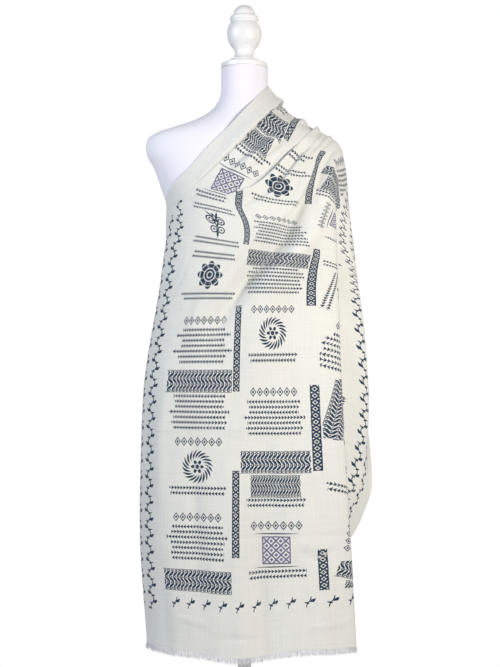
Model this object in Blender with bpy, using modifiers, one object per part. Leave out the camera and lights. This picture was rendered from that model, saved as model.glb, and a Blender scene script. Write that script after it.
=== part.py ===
"""A shawl draped over one shoulder of a limbless dress form on a round stand.

Units are metres and +Z is up. The front faces -Y, and the cloth lies on the
form's left shoulder, on the +X side. The origin is on the floor, under the
middle of the stand's pole.

The cloth is one rectangle, cut 0.70 m wide and 1.80 m long. A point of it is
named by two lengths measured on the flat cloth: "along", from the front hem
to the back hem, and "across", from the long edge that crosses the chest to
the far long edge. Each rail below is the path of one such across line.
"""
import math

import bmesh
import bpy
import numpy as np
from mathutils import Vector

# Cloth, cut flat
CLOTH_WIDTH = 0.70
CLOTH_LENGTH = 1.80
CLOTH_WALL = 0.002
SEAM_GAP = 0.0003
CLOTH_GAP = 0.0005
CREST_ALONG = 1.27
FOLD_SPLIT_ACROSS = 0.512
FORM_CLEARANCE = 0.0058
SEAT_CLEARANCE = 0.0016
SEAT_REACH = 0.035

# Fringe of short yarn ends on the two cut ends of the cloth
FRONT_STRANDS = 66
BACK_STRANDS = 52
FRINGE_STRIP_HEIGHT = 0.003
FRINGE_GAP = 0.0009
FRINGE_STRIP_WALL = 0.0014
FRINGE_DROP = 0.012
FRINGE_UNEVEN = 0.003

# Dress form
FORM_BOTTOM = 0.630
NECK_TOP = 1.4345
FORM_SIDES = 40

# Neck cap and finial
CAP_RADIUS = 0.0487
CAP_HEIGHT = 0.0115
FOOT_RADIUS = 0.0347
FOOT_EDGE = 0.0026
FOOT_STEP_RADIUS = 0.0304
FOOT_STEP_HEIGHT = 0.0082
WAIST_RADIUS = 0.0205
WAIST_MIDDLE = 0.0217
WAIST_HOLLOW = 0.0115
WAIST_HALF_HEIGHT = 0.0130
VASE_RADIUS = 0.0367
VASE_MIDDLE = 0.0631
VASE_RISE = 0.0374
VASE_DROP = 0.0407
BEAD_RADIUS = 0.0305
BEAD_BOTTOM = 0.0862
BEAD_HEIGHT = 0.0150
BEAD_ROUND = 0.0050
BEAD_GROOVE = 0.0262
DOME_RADIUS = 0.0238
DOME_HEIGHT = 0.0217

# Stand
BASE_RADIUS = 0.165
BASE_THICKNESS = 0.010
BOSS_RADIUS = 0.024
BOSS_HEIGHT = 0.034
POLE_RADIUS = 0.0140
FLANGE_RADIUS = 0.034
FLANGE_HEIGHT = 0.008
TURNED_STEPS = 28
MERGE_DISTANCE = 0.00005

# Sections of the dress form: how far it reaches on its bare and its covered side, in front and behind
FORM_COLUMNS = ("height", "bare_side", "covered_side", "front", "back")
FORM_SECTIONS = (
    (0.6300, 0.1550, 0.1550, 0.0860, 0.0960),
    (0.6400, 0.1690, 0.1690, 0.0940, 0.1040),
    (0.6650, 0.1790, 0.1790, 0.0990, 0.1110),
    (0.7200, 0.1810, 0.1810, 0.1010, 0.1140),
    (0.8000, 0.1650, 0.1650, 0.0980, 0.1050),
    (0.8800, 0.1380, 0.1380, 0.0910, 0.0900),
    (0.9500, 0.1260, 0.1260, 0.0880, 0.0820),
    (1.0200, 0.1360, 0.1360, 0.0960, 0.0870),
    (1.0900, 0.1520, 0.1520, 0.1120, 0.0950),
    (1.1380, 0.1600, 0.1590, 0.1160, 0.0980),
    (1.1800, 0.1735, 0.1720, 0.1120, 0.0980),
    (1.2300, 0.1915, 0.1880, 0.1010, 0.0945),
    (1.2520, 0.2040, 0.1930, 0.0950, 0.0910),
    (1.2700, 0.2072, 0.1850, 0.0895, 0.0870),
    (1.2867, 0.2035, 0.1670, 0.0840, 0.0825),
    (1.3000, 0.1850, 0.1480, 0.0790, 0.0780),
    (1.3140, 0.1420, 0.1220, 0.0730, 0.0720),
    (1.3287, 0.1000, 0.0960, 0.0670, 0.0660),
    (1.3420, 0.0767, 0.0760, 0.0620, 0.0600),
    (1.3560, 0.0620, 0.0620, 0.0580, 0.0560),
    (1.3850, 0.0496, 0.0496, 0.0530, 0.0500),
    (NECK_TOP, 0.0488, 0.0488, 0.0520, 0.0480),
)

# Paths of the cloth's across lines, from the front hem over the shoulder to the back hem
RAIL_COLUMNS = ("along", "x", "y", "z")
RAILS = (
    ("chest_edge", 0.000, (
        (0.00, -0.190, 0.012, 0.244),
        (0.25, -0.203, 0.008, 0.490),
        (0.50, -0.197, 0.012, 0.740),
        (0.72, -0.167, 0.018, 0.957),
        (0.90, -0.163, -0.012, 1.137),
        (1.03, -0.098, -0.086, 1.230),
        (1.15, -0.015, -0.078, 1.320),
        (1.27, 0.0500, -0.004, 1.398),
        (1.38, 0.0350, 0.0680, 1.3500),
        (1.56, -0.0370, 0.1060, 1.1900),
        (1.80, -0.0980, 0.1300, 0.9600),
    )),
    ("left_turn", 0.045, (
        (0.00, -0.2023, -0.030, 0.244),
        (0.25, -0.2169, -0.030, 0.490),
        (0.50, -0.2106, -0.028, 0.740),
        (0.72, -0.179, -0.025, 0.957),
        (0.90, -0.147, -0.060, 1.122),
        (1.03, -0.068, -0.101, 1.200),
        (1.15, 0.012, -0.089, 1.288),
        (1.27, 0.073, -0.003, 1.364),
        (1.38, 0.0580, 0.0770, 1.3250),
        (1.56, -0.0170, 0.1130, 1.1700),
        (1.80, -0.0800, 0.1360, 0.9350),
    )),
    ("chest", 0.140, (
        (0.00, -0.130, -0.112, 0.244),
        (0.25, -0.140, -0.112, 0.490),
        (0.50, -0.135, -0.112, 0.740),
        (0.72, -0.112, -0.108, 0.957),
        (0.90, -0.075, -0.119, 1.105),
        (1.03, 0.000, -0.119, 1.170),
        (1.15, 0.058, -0.098, 1.250),
        (1.27, 0.120, 0.000, 1.3235),
        (1.38, 0.0950, 0.0840, 1.3000),
        (1.56, 0.0250, 0.1220, 1.1400),
        (1.80, -0.0450, 0.1440, 0.8850),
    )),
    ("middle", 0.280, (
        (0.00, 0.000, -0.137, 0.235),
        (0.25, -0.005, -0.132, 0.490),
        (0.50, -0.005, -0.130, 0.740),
        (0.72, 0.000, -0.126, 0.957),
        (0.90, 0.020, -0.128, 1.085),
        (1.03, 0.070, -0.118, 1.150),
        (1.15, 0.110, -0.094, 1.2255),
        (1.27, 0.166, 0.000, 1.2985),
        (1.38, 0.1400, 0.0800, 1.2780),
        (1.56, 0.0750, 0.1240, 1.1000),
        (1.80, 0.0100, 0.1480, 0.8100),
    )),
    ("front_right", 0.410, (
        (0.00, 0.135, -0.122, 0.248),
        (0.25, 0.125, -0.118, 0.490),
        (0.50, 0.115, -0.117, 0.740),
        (0.72, 0.108, -0.115, 0.957),
        (0.90, 0.130, -0.108, 1.072),
        (1.03, 0.145, -0.093, 1.145),
        (1.15, 0.160, -0.071, 1.222),
        (1.27, 0.1955, 0.000, 1.2800),
        (1.38, 0.1800, 0.0660, 1.2500),
        (1.56, 0.1220, 0.1220, 1.0500),
        (1.80, 0.0700, 0.1460, 0.7250),
    )),
    ("ridge", 0.490, (
        (0.00, 0.228, -0.078, 0.244),
        (0.25, 0.215, -0.080, 0.490),
        (0.50, 0.200, -0.082, 0.740),
        (0.72, 0.1915, -0.080, 0.957),
        (0.90, 0.188, -0.075, 1.063),
        (1.03, 0.187, -0.065, 1.135),
        (1.15, 0.190, -0.050, 1.200),
        (1.27, 0.2085, 0.0040, 1.2460),
        (1.38, 0.1970, 0.0600, 1.2110),
        (1.56, 0.1530, 0.1180, 1.0150),
        (1.80, 0.1100, 0.1420, 0.6550),
    )),
    ("valley", 0.545, (
        (0.00, 0.1900, -0.0420, 0.2440),
        (0.14, 0.1720, -0.0420, 0.3800),
        (0.25, 0.1550, -0.0450, 0.4900),
        (0.33, 0.1580, -0.0460, 0.5700),
        (0.42, 0.1740, -0.0460, 0.6600),
        (0.50, 0.1810, -0.0450, 0.7400),
        (0.60, 0.1700, -0.0450, 0.8380),
        (0.72, 0.1550, -0.0450, 0.9570),
        (0.90, 0.1650, -0.0400, 1.0530),
        (1.03, 0.1780, -0.0360, 1.1150),
        (1.15, 0.1970, -0.0260, 1.1680),
        (1.27, 0.2165, 0.0180, 1.2030),
        (1.38, 0.2030, 0.0640, 1.1720),
        (1.56, 0.1700, 0.1140, 0.9850),
        (1.80, 0.1350, 0.1380, 0.6000),
    )),
    ("side", 0.630, (
        (0.00, 0.1150, -0.0350, 0.2420),
        (0.14, 0.1600, -0.0200, 0.3800),
        (0.25, 0.2050, -0.0120, 0.4900),
        (0.33, 0.2430, 0.0000, 0.5700),
        (0.50, 0.2600, 0.0020, 0.7400),
        (0.72, 0.2435, 0.0000, 0.9570),
        (0.90, 0.2340, 0.0000, 1.0250),
        (1.03, 0.2280, 0.0020, 1.0750),
        (1.15, 0.2225, 0.0100, 1.1180),
        (1.27, 0.2200, 0.0400, 1.1540),
        (1.38, 0.2100, 0.0700, 1.1180),
        (1.56, 0.1910, 0.1060, 0.9300),
        (1.80, 0.1750, 0.1220, 0.5200),
    )),
    ("far_edge", 0.700, (
        (0.00, 0.050, -0.032, 0.238),
        (0.14, 0.165, -0.002, 0.375),
        (0.25, 0.246, 0.015, 0.488),
        (0.33, 0.2696, 0.0220, 0.5660),
        (0.50, 0.2560, 0.0440, 0.7380),
        (0.72, 0.2340, 0.0460, 0.9500),
        (0.90, 0.2290, 0.0400, 1.0000),
        (1.03, 0.2250, 0.0380, 1.0400),
        (1.15, 0.2200, 0.0420, 1.0750),
        (1.27, 0.2165, 0.0530, 1.1000),
        (1.38, 0.2130, 0.0680, 1.0600),
        (1.56, 0.2130, 0.0830, 0.8700),
        (1.80, 0.2080, 0.0950, 0.4500),
    )),
)

# Folds: a soft ridge (height > 0) or trough (height < 0) from one point of the cloth to another
FOLD_COLUMNS = ("from_along", "from_across", "to_along", "to_across", "half_width", "height")
FOLDS = (
    (1.50, 0.205, 0.95, 0.070, 0.019, 0.011),
    (1.46, 0.262, 0.96, 0.135, 0.017, -0.005),
    (1.50, 0.335, 1.02, 0.345, 0.020, 0.009),
    (1.50, 0.400, 0.92, 0.300, 0.020, -0.006),
    (1.45, 0.470, 1.00, 0.440, 0.018, 0.006),
    (1.48, 0.080, 1.12, 0.055, 0.016, 0.008),
    (1.20, 0.400, 0.76, 0.330, 0.026, -0.012),
    (0.98, 0.400, 0.56, 0.190, 0.026, -0.015),
    (1.02, 0.455, 0.50, 0.265, 0.032, 0.009),
    (0.66, 0.110, -0.50, 0.150, 0.035, 0.006),
    (0.58, 0.330, -0.50, 0.350, 0.040, -0.007),
    (0.46, 0.235, -0.40, 0.245, 0.030, 0.005),
)

# Hanging folds behind, which open from the shoulder crest down: place, width and height at the back hem
HANGING_COLUMNS = ("across", "half_width", "height")
HANGING_FOLDS = (
    (0.075, 0.034, 0.028),
    (0.205, 0.038, 0.034),
    (0.345, 0.036, 0.032),
    (0.480, 0.034, 0.030),
    (0.600, 0.030, 0.024),
)
HANGING_TROUGH = 0.012


def column(rows, names, name):
    """One named column of a table as an array."""
    place = names.index(name)
    return np.array([row[place] for row in rows])


def smooth_slopes(knots, values):
    """Slopes of a smooth curve through the values that never overshoots them."""
    step = np.diff(knots)
    secant = np.diff(values, axis=0) / step[:, None]
    slopes = np.zeros_like(values)
    before, after = secant[:-1], secant[1:]
    weight_before = (2 * step[1:] + step[:-1])[:, None]
    weight_after = (step[1:] + 2 * step[:-1])[:, None]
    same_way = before * after > 0
    safe_before = np.where(same_way, before, 1.0)
    safe_after = np.where(same_way, after, 1.0)
    mean = (weight_before + weight_after) / (weight_before / safe_before + weight_after / safe_after)
    slopes[1:-1] = np.where(same_way, mean, 0.0)
    slopes[0] = secant[0]
    slopes[-1] = secant[-1]
    return slopes


def smooth_curve(knots, values, at):
    """Values of the smooth curve at the places asked for; past the ends it runs straight on."""
    knots = np.asarray(knots, float)
    values = np.asarray(values, float)
    slopes = smooth_slopes(knots, values)
    inside = np.clip(at, knots[0], knots[-1])
    cell = np.clip(np.searchsorted(knots, inside, side="right") - 1, 0, len(knots) - 2)
    step = (knots[cell + 1] - knots[cell])[:, None]
    part = (inside - knots[cell])[:, None] / step
    low, high = values[cell], values[cell + 1]
    rise_low, rise_high = slopes[cell] * step, slopes[cell + 1] * step
    curve = (
        low * (1 + 2 * part) * (1 - part) ** 2
        + rise_low * part * (1 - part) ** 2
        + high * part ** 2 * (3 - 2 * part)
        + rise_high * part ** 2 * (part - 1)
    )
    beyond = (np.asarray(at) - inside)[:, None]
    end_slope = np.where(beyond < 0, slopes[0], slopes[-1])
    return curve + beyond * end_slope


FORM_HEIGHTS = column(FORM_SECTIONS, FORM_COLUMNS, "height")
FORM_SIZES = np.array([row[1:] for row in FORM_SECTIONS])


def form_size(heights):
    """How far the form reaches to its bare side, its covered side, the front and the back."""
    inside = np.clip(heights, FORM_HEIGHTS[0], FORM_HEIGHTS[-1])
    return smooth_curve(FORM_HEIGHTS, FORM_SIZES, inside).T


def form_level(points):
    """Below 0 inside the form's oval section, above 0 outside it."""
    bare, covered, front, back = form_size(points[:, 2])
    width = np.where(points[:, 0] < 0, bare, covered)
    depth = np.where(points[:, 1] < 0, front, back)
    return np.hypot(points[:, 0] / width, points[:, 1] / depth) - 1


def clearance_at(along, across):
    """How far the wall's middle stays off the form: the cloth is seated where its edge meets the neck."""
    grid_along, grid_across = np.meshgrid(along, across, indexing="ij")
    off = np.hypot(grid_along - CREST_ALONG, grid_across) / SEAT_REACH
    return FORM_CLEARANCE - (FORM_CLEARANCE - SEAT_CLEARANCE) * np.exp(-off ** 2)


def clear_of_form(points, clearance):
    """Points nearer to the form than their clearance, moved straight out of it."""
    points = points.copy()
    nudge = 0.0005
    lowest = FORM_BOTTOM - 0.02
    for _ in range(6):
        level = form_level(points)
        slope = np.stack([
            (form_level(points + nudge * np.eye(3)[axis]) - form_level(points - nudge * np.eye(3)[axis]))
            / (2 * nudge)
            for axis in range(3)
        ], axis=1)
        steepness = np.linalg.norm(slope, axis=1)
        short = clearance - level / steepness
        short = np.where(points[:, 2] < lowest, 0.0, np.clip(short, 0.0, 0.02))
        points += slope / steepness[:, None] * short[:, None]
    return points


def rail_surface(along, across):
    """Points of the cloth before its folds, a row for each along and a column for each across."""
    rails = [
        smooth_curve(column(rows, RAIL_COLUMNS, "along"), np.array([row[1:] for row in rows]), along)
        for _, _, rows in RAILS
    ]
    places = [place for _, place, _ in RAILS]
    return np.array([
        smooth_curve(places, np.array([rail[row] for rail in rails]), across)
        for row in range(len(along))
    ])


def grid_normals(surface, along, across, reach=0.002):
    """The way out of the cloth's right side at each point of a surface's grid."""
    side = surface(along, across + reach) - surface(along, across - reach)
    up = surface(along + reach, across) - surface(along - reach, across)
    way = np.cross(side, up)
    return way / np.linalg.norm(way, axis=2, keepdims=True)


def fold_height(along, across):
    """Height of the folds over the grid."""
    grid_along, grid_across = np.meshgrid(along, across, indexing="ij")
    height = np.zeros_like(grid_along)
    for row in FOLDS:
        fold = dict(zip(FOLD_COLUMNS, row))
        run_along = fold["to_along"] - fold["from_along"]
        run_across = fold["to_across"] - fold["from_across"]
        length = math.hypot(run_along, run_across)
        off_along = grid_along - fold["from_along"]
        off_across = grid_across - fold["from_across"]
        part = (off_along * run_along + off_across * run_across) / length ** 2
        off = (off_along * run_across - off_across * run_along) / length
        taper = np.sin(math.pi * np.clip(part, 0, 1))
        height += fold["height"] * taper * np.exp(-(off / fold["half_width"]) ** 2)
    return height


def hanging_height(along, across):
    """Height of the hanging folds over the grid, 0 up to the crest and full at the back hem."""
    fall = np.clip((along - CREST_ALONG) / (CLOTH_LENGTH - CREST_ALONG), 0, 1)
    profile = np.full(len(across), -HANGING_TROUGH)
    for row in HANGING_FOLDS:
        fold = dict(zip(HANGING_COLUMNS, row))
        profile += fold["height"] * np.exp(-((across - fold["across"]) / fold["half_width"]) ** 2)
    return fall[:, None] ** 0.8 * profile[None, :]


def cloth_grid(along, across):
    """The middle of the cloth's wall over a grid, with its folds, clear of the form."""
    along = np.asarray(along, float)
    across = np.asarray(across, float)
    lift = fold_height(along, across) + hanging_height(along, across)
    points = rail_surface(along, across) + grid_normals(rail_surface, along, across) * lift[:, :, None]
    clearance = clearance_at(along, across).reshape(-1)
    return clear_of_form(points.reshape(-1, 3), clearance).reshape(points.shape)


def spaced(*runs):
    """Places along a line: each run is (from, to, number of cells)."""
    places = [np.array([runs[0][0]])]
    for start, end, cells in runs:
        places.append(np.linspace(start, end, cells + 1)[1:])
    return np.concatenate(places)


def new_collection(name):
    """A collection linked to the scene."""
    collection = bpy.data.collections.new(name)
    bpy.context.scene.collection.children.link(collection)
    return collection


def new_material(name, color, roughness, metallic=0.0):
    """A Principled material in one colour."""
    material = bpy.data.materials.new(name)
    material.use_nodes = True
    shader = material.node_tree.nodes["Principled BSDF"]
    shader.inputs["Base Color"].default_value = (*color, 1.0)
    shader.inputs["Roughness"].default_value = roughness
    shader.inputs["Metallic"].default_value = metallic
    return material


def add_mesh_object(name, points, edges, faces, material, collection):
    """An object from points, edges and faces, shaded smooth over its gentle bends."""
    mesh = bpy.data.meshes.new(name)
    mesh.from_pydata([tuple(point) for point in points], edges, faces)
    mesh.materials.append(material)
    mesh.shade_smooth()
    mesh.set_sharp_from_angle(angle=math.radians(40))
    mesh.update()
    obj = bpy.data.objects.new(name, mesh)
    collection.objects.link(obj)
    return obj


def ring_faces(rows, columns):
    """Quads between closed rings of points stored ring by ring."""
    faces = []
    for row in range(rows - 1):
        for place in range(columns):
            beside = (place + 1) % columns
            low, high = row * columns, (row + 1) * columns
            faces.append((low + place, low + beside, high + beside, high + place))
    return faces


def sheet_faces(rows, columns):
    """Triangles of an open grid stored row by row, all cut along the same diagonal."""
    faces = []
    for row in range(rows - 1):
        for place in range(columns - 1):
            low = row * columns + place
            high = low + columns
            faces.append((low, low + 1, high + 1))
            faces.append((low, high + 1, high))
    return faces


def cloth_wall(name, along, across, material, collection):
    """One stretch of the cloth: a thin wall lofted between its outer and its inner grid."""
    middle = cloth_grid(along, across)
    half_wall = grid_normals(cloth_grid, along, across) * CLOTH_WALL / 2
    rows, columns = middle.shape[:2]
    count = rows * columns
    points = np.concatenate([(middle + half_wall).reshape(-1, 3), (middle - half_wall).reshape(-1, 3)])
    faces = sheet_faces(rows, columns)
    faces += [tuple(count + point for point in reversed(face)) for face in faces]
    first_row = list(range(columns))
    last_row = [count - columns + place for place in first_row]
    first_column = [row * columns for row in range(rows)]
    last_column = [point + columns - 1 for point in first_column]
    border = first_row + last_column[1:] + last_row[-2::-1] + first_column[-2:0:-1]
    for here, beyond in zip(border, border[1:] + border[:1]):
        faces.append((beyond, here, here + count, beyond + count))
    return add_mesh_object(name, points, [], faces, material, collection)


def turned(name, profile, material, collection, steps=TURNED_STEPS):
    """A turned piece: its outer profile, top to bottom, spun about the Z axis."""
    points = [(radius, 0.0, height) for radius, height in profile]
    edges = [(place, place + 1) for place in range(len(points) - 1)]
    obj = add_mesh_object(name, points, edges, [], material, collection)
    spin = obj.modifiers.new("turn", "SCREW")
    spin.axis = "Z"
    spin.angle = math.tau
    spin.steps = steps
    spin.render_steps = steps
    spin.use_merge_vertices = True
    spin.merge_threshold = MERGE_DISTANCE
    spin.use_smooth_shade = True
    return obj


def arc(center, half_width, half_height, start, end, cells):
    """Profile points on an oval arc; angles in degrees, 90 at the top and 0 at the outer side."""
    points = []
    for place in range(cells + 1):
        angle = math.radians(start + (end - start) * place / cells)
        points.append((
            center[0] + half_width * math.cos(angle),
            center[1] + half_height * math.sin(angle),
        ))
    return points


def form_body(material, collection):
    """The dress form: oval sections lofted from its underside to its neck, closed flat at both ends."""
    heights = FORM_HEIGHTS
    bare, covered, front, back = form_size(heights)
    angles = np.arange(FORM_SIDES) * math.tau / FORM_SIDES
    sine, cosine = np.sin(angles), np.cos(angles)
    points = []
    for row, height in enumerate(heights):
        width = np.where(cosine < 0, bare[row], covered[row])
        depth = np.where(sine < 0, front[row], back[row])
        points.extend(np.stack([width * cosine, depth * sine, np.full(FORM_SIDES, height)], axis=1))
    faces = ring_faces(len(heights), FORM_SIDES)
    last = (len(heights) - 1) * FORM_SIDES
    faces.append(tuple(reversed(range(FORM_SIDES))))
    faces.append(tuple(range(last, last + FORM_SIDES)))
    return add_mesh_object("form_body", points, [], faces, material, collection)


def neck_pieces(material, collection):
    """The neck's cap disc and the turned finial that stands on it."""
    cap_bottom = NECK_TOP + SEAM_GAP
    cap_top = cap_bottom + CAP_HEIGHT
    lip = 0.0022
    cap = [(0.0, cap_top)]
    cap += arc((CAP_RADIUS - lip, cap_top - lip), lip, lip, 90, 0, 3)
    cap += arc((CAP_RADIUS - lip, cap_bottom + lip), lip, lip, 0, -90, 3)
    cap += [(0.0, cap_bottom)]
    turned("neck_cap", cap, material, collection)

    foot_bottom = cap_top + SEAM_GAP
    waist = (WAIST_RADIUS + WAIST_HOLLOW, foot_bottom + WAIST_MIDDLE)
    vase = (0.0, foot_bottom + VASE_MIDDLE)
    bead_bottom = foot_bottom + BEAD_BOTTOM
    bead = (BEAD_RADIUS - BEAD_ROUND, bead_bottom + BEAD_HEIGHT / 2)
    dome = (0.0, bead_bottom + BEAD_HEIGHT)
    softened = 0.0008
    finial = arc(dome, DOME_RADIUS, DOME_HEIGHT, 90, 0, 5)
    finial += [(DOME_RADIUS, dome[1] - softened)]
    finial += arc(bead, BEAD_ROUND, BEAD_HEIGHT / 2 - softened, 75, -75, 5)
    finial += [(BEAD_GROOVE, bead_bottom)]
    finial += arc(vase, VASE_RADIUS, VASE_RISE, 36, 0, 4)
    finial += arc(vase, VASE_RADIUS, VASE_DROP, -10, -48, 5)
    finial += arc(waist, WAIST_HOLLOW, WAIST_HALF_HEIGHT, 132, 250, 7)
    finial += [(FOOT_STEP_RADIUS, foot_bottom + FOOT_STEP_HEIGHT)]
    finial += [(FOOT_STEP_RADIUS + 2 * softened, foot_bottom + FOOT_EDGE + 2 * softened)]
    finial += [(FOOT_RADIUS - softened, foot_bottom + FOOT_EDGE)]
    finial += [(FOOT_RADIUS, foot_bottom + FOOT_EDGE - softened), (FOOT_RADIUS, foot_bottom + softened)]
    finial += [(FOOT_RADIUS - softened, foot_bottom), (0.0, foot_bottom)]
    turned("finial", finial, material, collection)


def stand_pieces(material, collection):
    """The flat round base with its boss, and the pole with the flange that carries the form."""
    edge = 0.004
    base = [(0.0, BOSS_HEIGHT), (BOSS_RADIUS - 0.003, BOSS_HEIGHT), (BOSS_RADIUS, BOSS_HEIGHT - 0.003)]
    base += [(BOSS_RADIUS, BASE_THICKNESS + 0.006), (BOSS_RADIUS + 0.006, BASE_THICKNESS)]
    base += arc((BASE_RADIUS - edge, BASE_THICKNESS - edge), edge, edge, 90, 0, 3)
    base += [(BASE_RADIUS, 0.0015), (BASE_RADIUS - 0.0015, 0.0), (0.0, 0.0)]
    turned("stand_base", base, material, collection, steps=40)

    flange_top = FORM_BOTTOM - SEAM_GAP
    flange_bottom = flange_top - FLANGE_HEIGHT
    pole_bottom = BOSS_HEIGHT + SEAM_GAP
    pole = [(0.0, flange_top), (FLANGE_RADIUS, flange_top), (FLANGE_RADIUS, flange_bottom)]
    pole += [(POLE_RADIUS + 0.004, flange_bottom - 0.003), (POLE_RADIUS, flange_bottom - 0.010)]
    pole += [(POLE_RADIUS, pole_bottom), (0.0, pole_bottom)]
    turned("stand_pole", pole, material, collection, steps=24)


HALF_GAP = CLOTH_GAP / 2
FRONT_ALONG = spaced((0.0, 0.90, 16), (0.90, 1.12, 6), (1.12, CREST_ALONG - HALF_GAP, 8))
BACK_ALONG = spaced((CREST_ALONG + HALF_GAP, 1.42, 8), (1.42, CLOTH_LENGTH, 10))
FRONT_ACROSS = spaced((0.0, 0.06, 3), (0.06, 0.44, 20), (0.44, FOLD_SPLIT_ACROSS - HALF_GAP, 5))
SIDE_ACROSS = spaced((FOLD_SPLIT_ACROSS + HALF_GAP, 0.56, 3), (0.56, 0.645, 4), (0.645, CLOTH_WIDTH, 3))
BACK_ACROSS = np.concatenate([FRONT_ACROSS, SIDE_ACROSS])


def shawl_pieces(material, collection):
    """The three stretches of the cloth that show: front fall, side fall and back fall."""
    cloth_wall("shawl_front_fall", FRONT_ALONG, FRONT_ACROSS, material, collection)
    cloth_wall("shawl_side_fall", FRONT_ALONG, SIDE_ACROSS, material, collection)
    cloth_wall("shawl_back_fall", BACK_ALONG, BACK_ACROSS, material, collection)


def along_line(across, line, at):
    """Points on the straight-sided line through the points of a wall's hem."""
    return np.stack([np.interp(at, across, line[:, axis]) for axis in range(3)], axis=1)


def fringe(name, hem_along, inward, strands, material, collection):
    """Short yarn ends under one hem: tapered strands grown out of a narrow backing strip."""
    segments = 2 * strands + 1
    places = np.linspace(0.001, CLOTH_WIDTH - 0.001, segments + 1)
    hem_line = cloth_grid([hem_along], BACK_ACROSS)[0]
    down_line = hem_line - cloth_grid([hem_along + inward], BACK_ACROSS)[0]
    out_line = grid_normals(cloth_grid, np.array([hem_along]), BACK_ACROSS)[0]
    hem = along_line(BACK_ACROSS, hem_line, places)
    down = along_line(BACK_ACROSS, down_line, places)
    out = along_line(BACK_ACROSS, out_line, places)
    down /= np.linalg.norm(down, axis=1, keepdims=True)
    sideways = np.gradient(hem, axis=0)
    top = hem + down * FRINGE_GAP
    foot = top + down * FRINGE_STRIP_HEIGHT
    half_wall = out * FRINGE_STRIP_WALL / 2

    shape = bmesh.new()
    rings = []
    for place in range(segments + 1):
        corners = (
            top[place] - half_wall[place],
            top[place] + half_wall[place],
            foot[place] + half_wall[place],
            foot[place] - half_wall[place],
        )
        rings.append([shape.verts.new(Vector(corner)) for corner in corners])
    shape.faces.new(rings[0])
    shape.faces.new(list(reversed(rings[-1])))
    roots = []
    for place in range(segments):
        here, beyond = rings[place], rings[place + 1]
        for side in range(4):
            after = (side + 1) % 4
            face = shape.faces.new((here[side], beyond[side], beyond[after], here[after]))
            if side == 2 and place % 2:
                roots.append((place, face))
    for place, root in roots:
        grown = bmesh.ops.extrude_discrete_faces(shape, faces=[root])["faces"][0]
        wobble = math.sin(2.4 * place) + 0.6 * math.sin(5.3 * place + 1.0)
        drop = FRINGE_DROP + FRINGE_UNEVEN * wobble
        lean = sideways[place] * 0.35 * math.sin(3.7 * place)
        center = grown.calc_center_median()
        for vert in grown.verts:
            vert.co = center + (vert.co - center) * 0.45 + Vector(down[place] * drop + lean)
    bmesh.ops.recalc_face_normals(shape, faces=shape.faces)
    mesh = bpy.data.meshes.new(name)
    shape.to_mesh(mesh)
    shape.free()
    mesh.materials.append(material)
    obj = bpy.data.objects.new(name, mesh)
    collection.objects.link(obj)
    return obj


def build():
    """The whole object, in one collection."""
    for obj in list(bpy.data.objects):
        bpy.data.objects.remove(obj, do_unlink=True)
    pieces = new_collection("shawl_on_dress_form")
    cloth = new_material("shawl_cloth", (0.86, 0.87, 0.82), 0.85)
    yarn = new_material("shawl_fringe", (0.84, 0.85, 0.83), 0.90)
    jersey = new_material("form_cover", (0.88, 0.87, 0.91), 0.75)
    paint = new_material("white_paint", (0.90, 0.90, 0.91), 0.35)
    metal = new_material("stand_paint", (0.80, 0.80, 0.81), 0.40)

    form_body(jersey, pieces)
    neck_pieces(paint, pieces)
    stand_pieces(metal, pieces)
    shawl_pieces(cloth, pieces)
    fringe("fringe_front", 0.0, 0.01, FRONT_STRANDS, yarn, pieces)
    fringe("fringe_back", CLOTH_LENGTH, -0.01, BACK_STRANDS, yarn, pieces)


build()
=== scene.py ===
import math

import bpy
import numpy as np
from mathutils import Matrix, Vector


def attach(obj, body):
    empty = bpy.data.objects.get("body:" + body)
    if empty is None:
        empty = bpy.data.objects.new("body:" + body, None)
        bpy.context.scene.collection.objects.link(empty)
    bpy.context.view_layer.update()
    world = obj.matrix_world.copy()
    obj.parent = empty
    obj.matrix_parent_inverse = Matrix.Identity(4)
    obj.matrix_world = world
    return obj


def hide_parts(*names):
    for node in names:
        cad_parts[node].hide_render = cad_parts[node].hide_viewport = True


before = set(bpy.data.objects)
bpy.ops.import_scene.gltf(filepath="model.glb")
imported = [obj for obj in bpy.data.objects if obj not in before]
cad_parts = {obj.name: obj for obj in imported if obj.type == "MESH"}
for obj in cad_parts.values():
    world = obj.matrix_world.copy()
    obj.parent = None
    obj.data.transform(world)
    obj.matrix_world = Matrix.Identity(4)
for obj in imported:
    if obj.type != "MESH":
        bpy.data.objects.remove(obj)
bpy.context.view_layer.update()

# Camera, light and floor
# The photograph is taken straight on from the front at waist height, against plain white.
# A small warm light stands at the viewer's right, a larger cool one higher at the left, and a third
# behind.
PIXEL = 0.0021
PICTURE_ROWS = 667
CAMERA_AWAY = 2.6
CAMERA_ASIDE = 0.01155
CAMERA_HEIGHT = 0.880
SENSOR = 36.0
camera = bpy.data.objects.new("camera", bpy.data.cameras.new("camera"))
camera.data.sensor_fit = "VERTICAL"
camera.data.sensor_height = SENSOR
camera.data.lens = SENSOR * CAMERA_AWAY / (PICTURE_ROWS * PIXEL)
camera.location = (CAMERA_ASIDE, -CAMERA_AWAY, CAMERA_HEIGHT)
camera.rotation_euler = (math.radians(90), 0.0, 0.0)
bpy.context.scene.collection.objects.link(camera)
bpy.context.scene.camera = camera
bpy.context.scene.view_settings.view_transform = "Standard"


def soft_light(name, place, aim, size, power, color):
    """A square area light at a place, turned to what it aims at."""
    light = bpy.data.lights.new(name, "AREA")
    light.size = size
    light.energy = power
    light.color = color
    lamp = bpy.data.objects.new(name, light)
    lamp.location = place
    lamp.rotation_euler = (Vector(aim) - Vector(place)).to_track_quat("-Z", "Y").to_euler()
    bpy.context.scene.collection.objects.link(lamp)
    return lamp


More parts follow.
